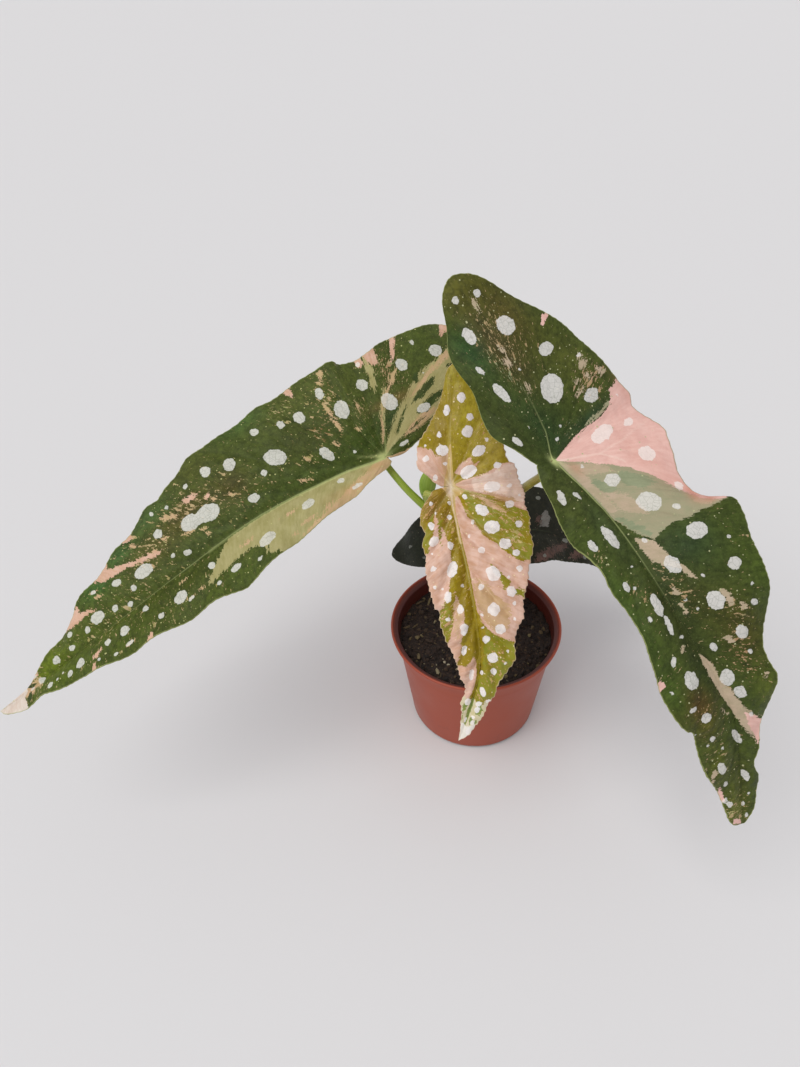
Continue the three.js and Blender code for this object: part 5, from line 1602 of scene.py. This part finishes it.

# ---------------------------------------------------------------- back leaf
# The oldest and lowest blade, of tougher, darker tissue, on the lowest stalk and behind the pot.
# Its colours are painted darker still for the shade of the others: nearly black green, with a dull
# pink-brown stripe and a few grey dots.

leaves["leaf_back"] = {
    "spine": [(-27, 46, 74), (10, 34, 99), (49, 38, 90), (87, 44, 63), (109, 48, 38)],
    "across": [(-60, 0.05, -0.8, -0.6), (120, 0.05, -0.8, -0.6)],
    "junction": 1,
    "fold": (6, 6),
    "wave": (1.2, 26, 0),
    "quilt": 0.7,
    "furrow": 3.0,
    "ridge": 6.0,
    "tooth": (0.35, 3.5),
    "halves": [
        {"shoulder": 20, "columns": 34, "margin": [
            (0, 3), (-4, 7), (-15, 10.5), (-28, 11), (-42, 10), (-54, 6), (-63, 1),
            (-66, -4), (-62, -9), (-52, -14), (-38, -20), (-22, -24), (-5, -25.5),
            (10, -25), (25, -23.5), (42, -21), (60, -17), (76, -12.5), (92, -8), (106, -4),
            (121, 0)]},
        {"shoulder": 14, "columns": 26, "margin": [
            (1, 5), (4, 11), (10, 16.5), (18, 19), (27, 18.5), (36, 16), (48, 14.5),
            (62, 12.5), (78, 9.5), (94, 6), (108, 3), (121, 0)]},
    ],
    "veins": [
        [(0, 0), (-14, 3), (-34, 5)],
        [(0, 0), (-12, -6), (-34, -12), (-54, -13)],
        [(0, 0), (-6, -10), (-18, -22)],
        [(0, 0), (6, -12), (14, -23)],
        [(16, 0), (32, -9), (46, -19)],
        [(42, 0), (58, -8), (72, -13)],
        [(6, 0), (16, 9), (24, 17)],
        [(28, 0), (44, 8), (54, 13)],
        [(56, 0), (70, 6), (82, 8)],
    ],
    "pale_star": 0.3,
    "heart": (0, 0, 2, 2, 0.5),
    "pale_lines": [],
}
back_patches = [
    ("grey", "#7d7b75", "#6a6862", 0.6),
    ("flecks", "#66544a"),
    ("brown", "#6a5047", "#463a33", 1.6),
]
back_shapes = {
    "grey": [[(28, -2), (33, -3), (34, -8), (31, -12), (28.5, -9), (27.6, -5)]],
    "brown": [
        [(26, -4), (28.6, -4), (28.8, -8), (26.6, -8)],
        [(24, 18), (30, 18), (38, 12), (45, 7), (47, 4), (40, 6), (32, 10), (25, 14)],
        [(46, 13), (52, 12), (60, 7), (64, 3), (57, 4), (50, 8)],
    ],
}
back_dots = [
    (-52, -4.7, 1.5, 1), (26.3, -17.5, 1.2), (-36, -2, 2.2, 1.6), (-18, 4, 2, 1.4),
    (-26, -14, 2.6, 2), (-6, -14, 2.2, 3), (12, -14, 2.4, 2.8), (12, 9, 2, 1.6),
    (46, -12, 3, 2.2), (44, 3, 2, 1.2), (62, -8, 2.4, 1.6), (70, 5, 2, 1.2), (86, -4, 1.8, 1.2),
    (-44, 4, 1.2), (2, -20, 1), (58, 9, 1.2), (98, 0.5, 1.2), (30, 14, 1.1),
]
back_clouds = {
    "ground": ["#292b1c", (30, 0, 40, 30, "#2b2b20", 0.5), (-40, 0, 20, 20, "#27301f", 0.5)],
    "fleck": [0.1, (36, 8, 16, 10, 0.6, 1)],
    "fleck_tone": ["#57503f"],
    "blush": [0.0],
}
# Painted shade: the back leaf's tones, the grey of its silver dots among them, are darkened for
# the shade the other leaves cast on it.
back_shaded_tones = {
    "deep": "#0e100a", "grain": "#3c4030", "furrow": "#15180e", "rust": "#3a2c24",
    "blush": "#6a5047", "vein": "#4f5a3a", "speck": "#6e6c58", "dot": "#85877e",
    "dot_mark": "#6f736a", "dot_film": 0.2, "rim": "#4f533a",
}
back_upper = waxy_skin("waxy_skin_back_shaded", back_patches, back_shaded_tones, 40, 0.42, 0.22)
back_under = under_skin("under_skin_back", [
    ("brown", "#8a5a50", "#7a4e46", 0.9), ("dots", "#6f4a44", "#7a544c", 0.3)],
    ("#45201f", "#572a26"), "#6e6a40")
make_blade("leaf_back", [back_upper, back_under], back_clouds, back_dots,
           back_shapes)

# ---------------------------------------------------------------- leaf stalks
# A round, fleshy stalk holds each blade from below. It grows from a ring on the cane, the
# youngest from the cane's top, and widens a little where it joins the blade.

stalks = {
    "left": {"node": "left", "bend": (-34, 3, 153), "radii": (1.9, 1.5), "slot": "stalk_green",
             "tones": ("#7f9829", "#95a943", "#a58c4c")},
    "right": {"node": "right", "bend": (15, -9, 157), "radii": (2.2, 1.6),
              "slot": "stalk_olive", "tones": ("#8b8434", "#9d9446", "#94764c")},
    "centre": {"node": "top", "bend": (-21, -7, 157), "radii": (1.5, 1.3),
               "slot": "stalk_green", "tones": ("#9aa54a", "#b3b45e", "#b98a66")},
    "back": {"node": "back", "bend": (5, 20, 91), "radii": (2.0, 1.5), "slot": "stalk_olive",
             "tones": ("#77743a", "#8a8448", "#7d5040")},
}
below_blade = 0.9
blade_flare = 0.35
foot_flare = 0.3


def fleshy_stalk(name, tones):
    """A smooth, juicy leaf stalk: satin, with fine streaks and a flush of red near the blade."""
    streak_width = 0.625
    material, tree = new_material(name)
    skin_place = add(tree, "UVMap", uv_map="skin")
    long = add(tree, "Mapping", {"Vector": skin_place, "Scale": (0.05, 1, 1)})
    streak = add(tree, "TexNoise", {"Vector": long, "Scale": 1 / streak_width, "Detail": 3.0})
    share = add(tree, "MapRange", [streak, 0.35, 0.65])
    tone = add(tree, "Mix", {0: share, 6: tones[0], 7: tones[1]}, 2, data_type="RGBA")
    flush = add(tree, "Attribute", output="Fac", attribute_name="flush")
    tone = add(tree, "Mix", {0: flush, 6: tone, 7: tones[2]}, 2, data_type="RGBA")
    relief = add(tree, "Bump", {"Height": streak, "Strength": 0.15, "Distance": 0.3 * MM})
    skin = add(tree, "BsdfPrincipled", {"Base Color": tone, "Roughness": 0.4, "IOR": 1.4,
                                        "Normal": relief})
    add(tree, "OutputMaterial", {"Surface": skin})
    return material


def lay_skin(piece, sides, length, girth, flush):
    """Gives each corner of a tube its place along and round it, in millimetres, and each ring
    of points its flush. Round the tube, the last faces end at the full girth."""
    rings = len(flush)
    skin = piece.data.uv_layers.new(name="skin")
    for face in piece.data.polygons:
        last_of_ring = max(face.vertices[k] % sides for k in range(4)) == sides - 1
        for corner in face.loop_indices:
            ring, side = divmod(piece.data.loops[corner].vertex_index, sides)
            turned = sides if last_of_ring and side == 0 else side
            skin.data[corner].uv = (ring / (rings - 1) * length, turned / sides * girth)
    store(piece.data, "flush", np.repeat(flush, sides))


def make_stalk(name, stalk):
    centre, _, normal = blade_frame(leaves["leaf_" + name], np.array([0.0]))
    cane_line = catmull_rom(cane_path)
    along = lengths_along(cane_line)
    grown_at = cane_nodes.get(stalk["node"], 1.0)
    foot = read(cane_line, along, np.array([grown_at * along[-1]]))[0]
    approach = 0.3 * np.linalg.norm(centre[0] - stalk["bend"])
    path = catmull_rom([foot, stalk["bend"], centre[0] - approach * normal[0],
                        centre[0] - below_blade * normal[0]])
    thick, thin = stalk["radii"]

    def radius(u):
        flare = (blade_flare * math.exp(-((1 - u) / 0.035) ** 2)
                 + foot_flare * math.exp(-(u / 0.06) ** 2))
        rounded = math.sqrt(1 - max(0, 1 - (1 - u) / 0.02) ** 2 * 0.75)
        return (thick + (thin - thick) * u + flare) * rounded

    sides, steps = 24, 90
    points, faces = tube(path, radius, sides, steps)
    skin = fleshy_stalk("fleshy_stalk_" + name, stalk["tones"])
    piece = new_piece("stalk_" + name, points, faces, [skin], "petiole_" + name)
    flush = 0.4 * np.exp(-(1 - np.linspace(0, 1, steps + 1)) / 0.08)
    lay_skin(piece, sides, lengths_along(path)[-1], 2 * math.pi * thin, flush)


for stalk_name, stalk in stalks.items():
    make_stalk(stalk_name, stalk)

# ---------------------------------------------------------------- stipule
# The green sheath that covered the youngest leaf's bud. It still stands at the cane's top node,
# keeled along its back and drawn out to a point.

sheath_path = [(-24.6, 4.8, 145.5), (-24.4, 5.6, 151), (-23.4, 6, 157), (-20, 6, 163.5)]
sheath_half_width = 4
sheath_half_thickness = 1.6
sheath_length = 20
sheath_girth = 16


def sheath_radius(u):
    """It swells from a narrow foot and ends in a point."""
    swell = math.sin(math.pi * min(1, 0.12 + 0.87 * u)) ** 0.8
    return sheath_half_width * (0.06 + 0.94 * swell)


def make_stipule():
    sides, steps = 32, 60
    points, faces = tube(catmull_rom(sheath_path), sheath_radius, sides, steps,
                         sheath_half_thickness / sheath_half_width)
    skin = fleshy_stalk("green_sheath", ("#84a23c", "#9bb552", "#b7b07a"))
    sheath = new_piece("stipule_sheath", points, faces, [skin], "stipule")
    flush = np.clip(np.linspace(-1.2, 0.6, steps + 1), 0, 1)
    lay_skin(sheath, sides, sheath_length, sheath_girth, flush)


make_stipule()
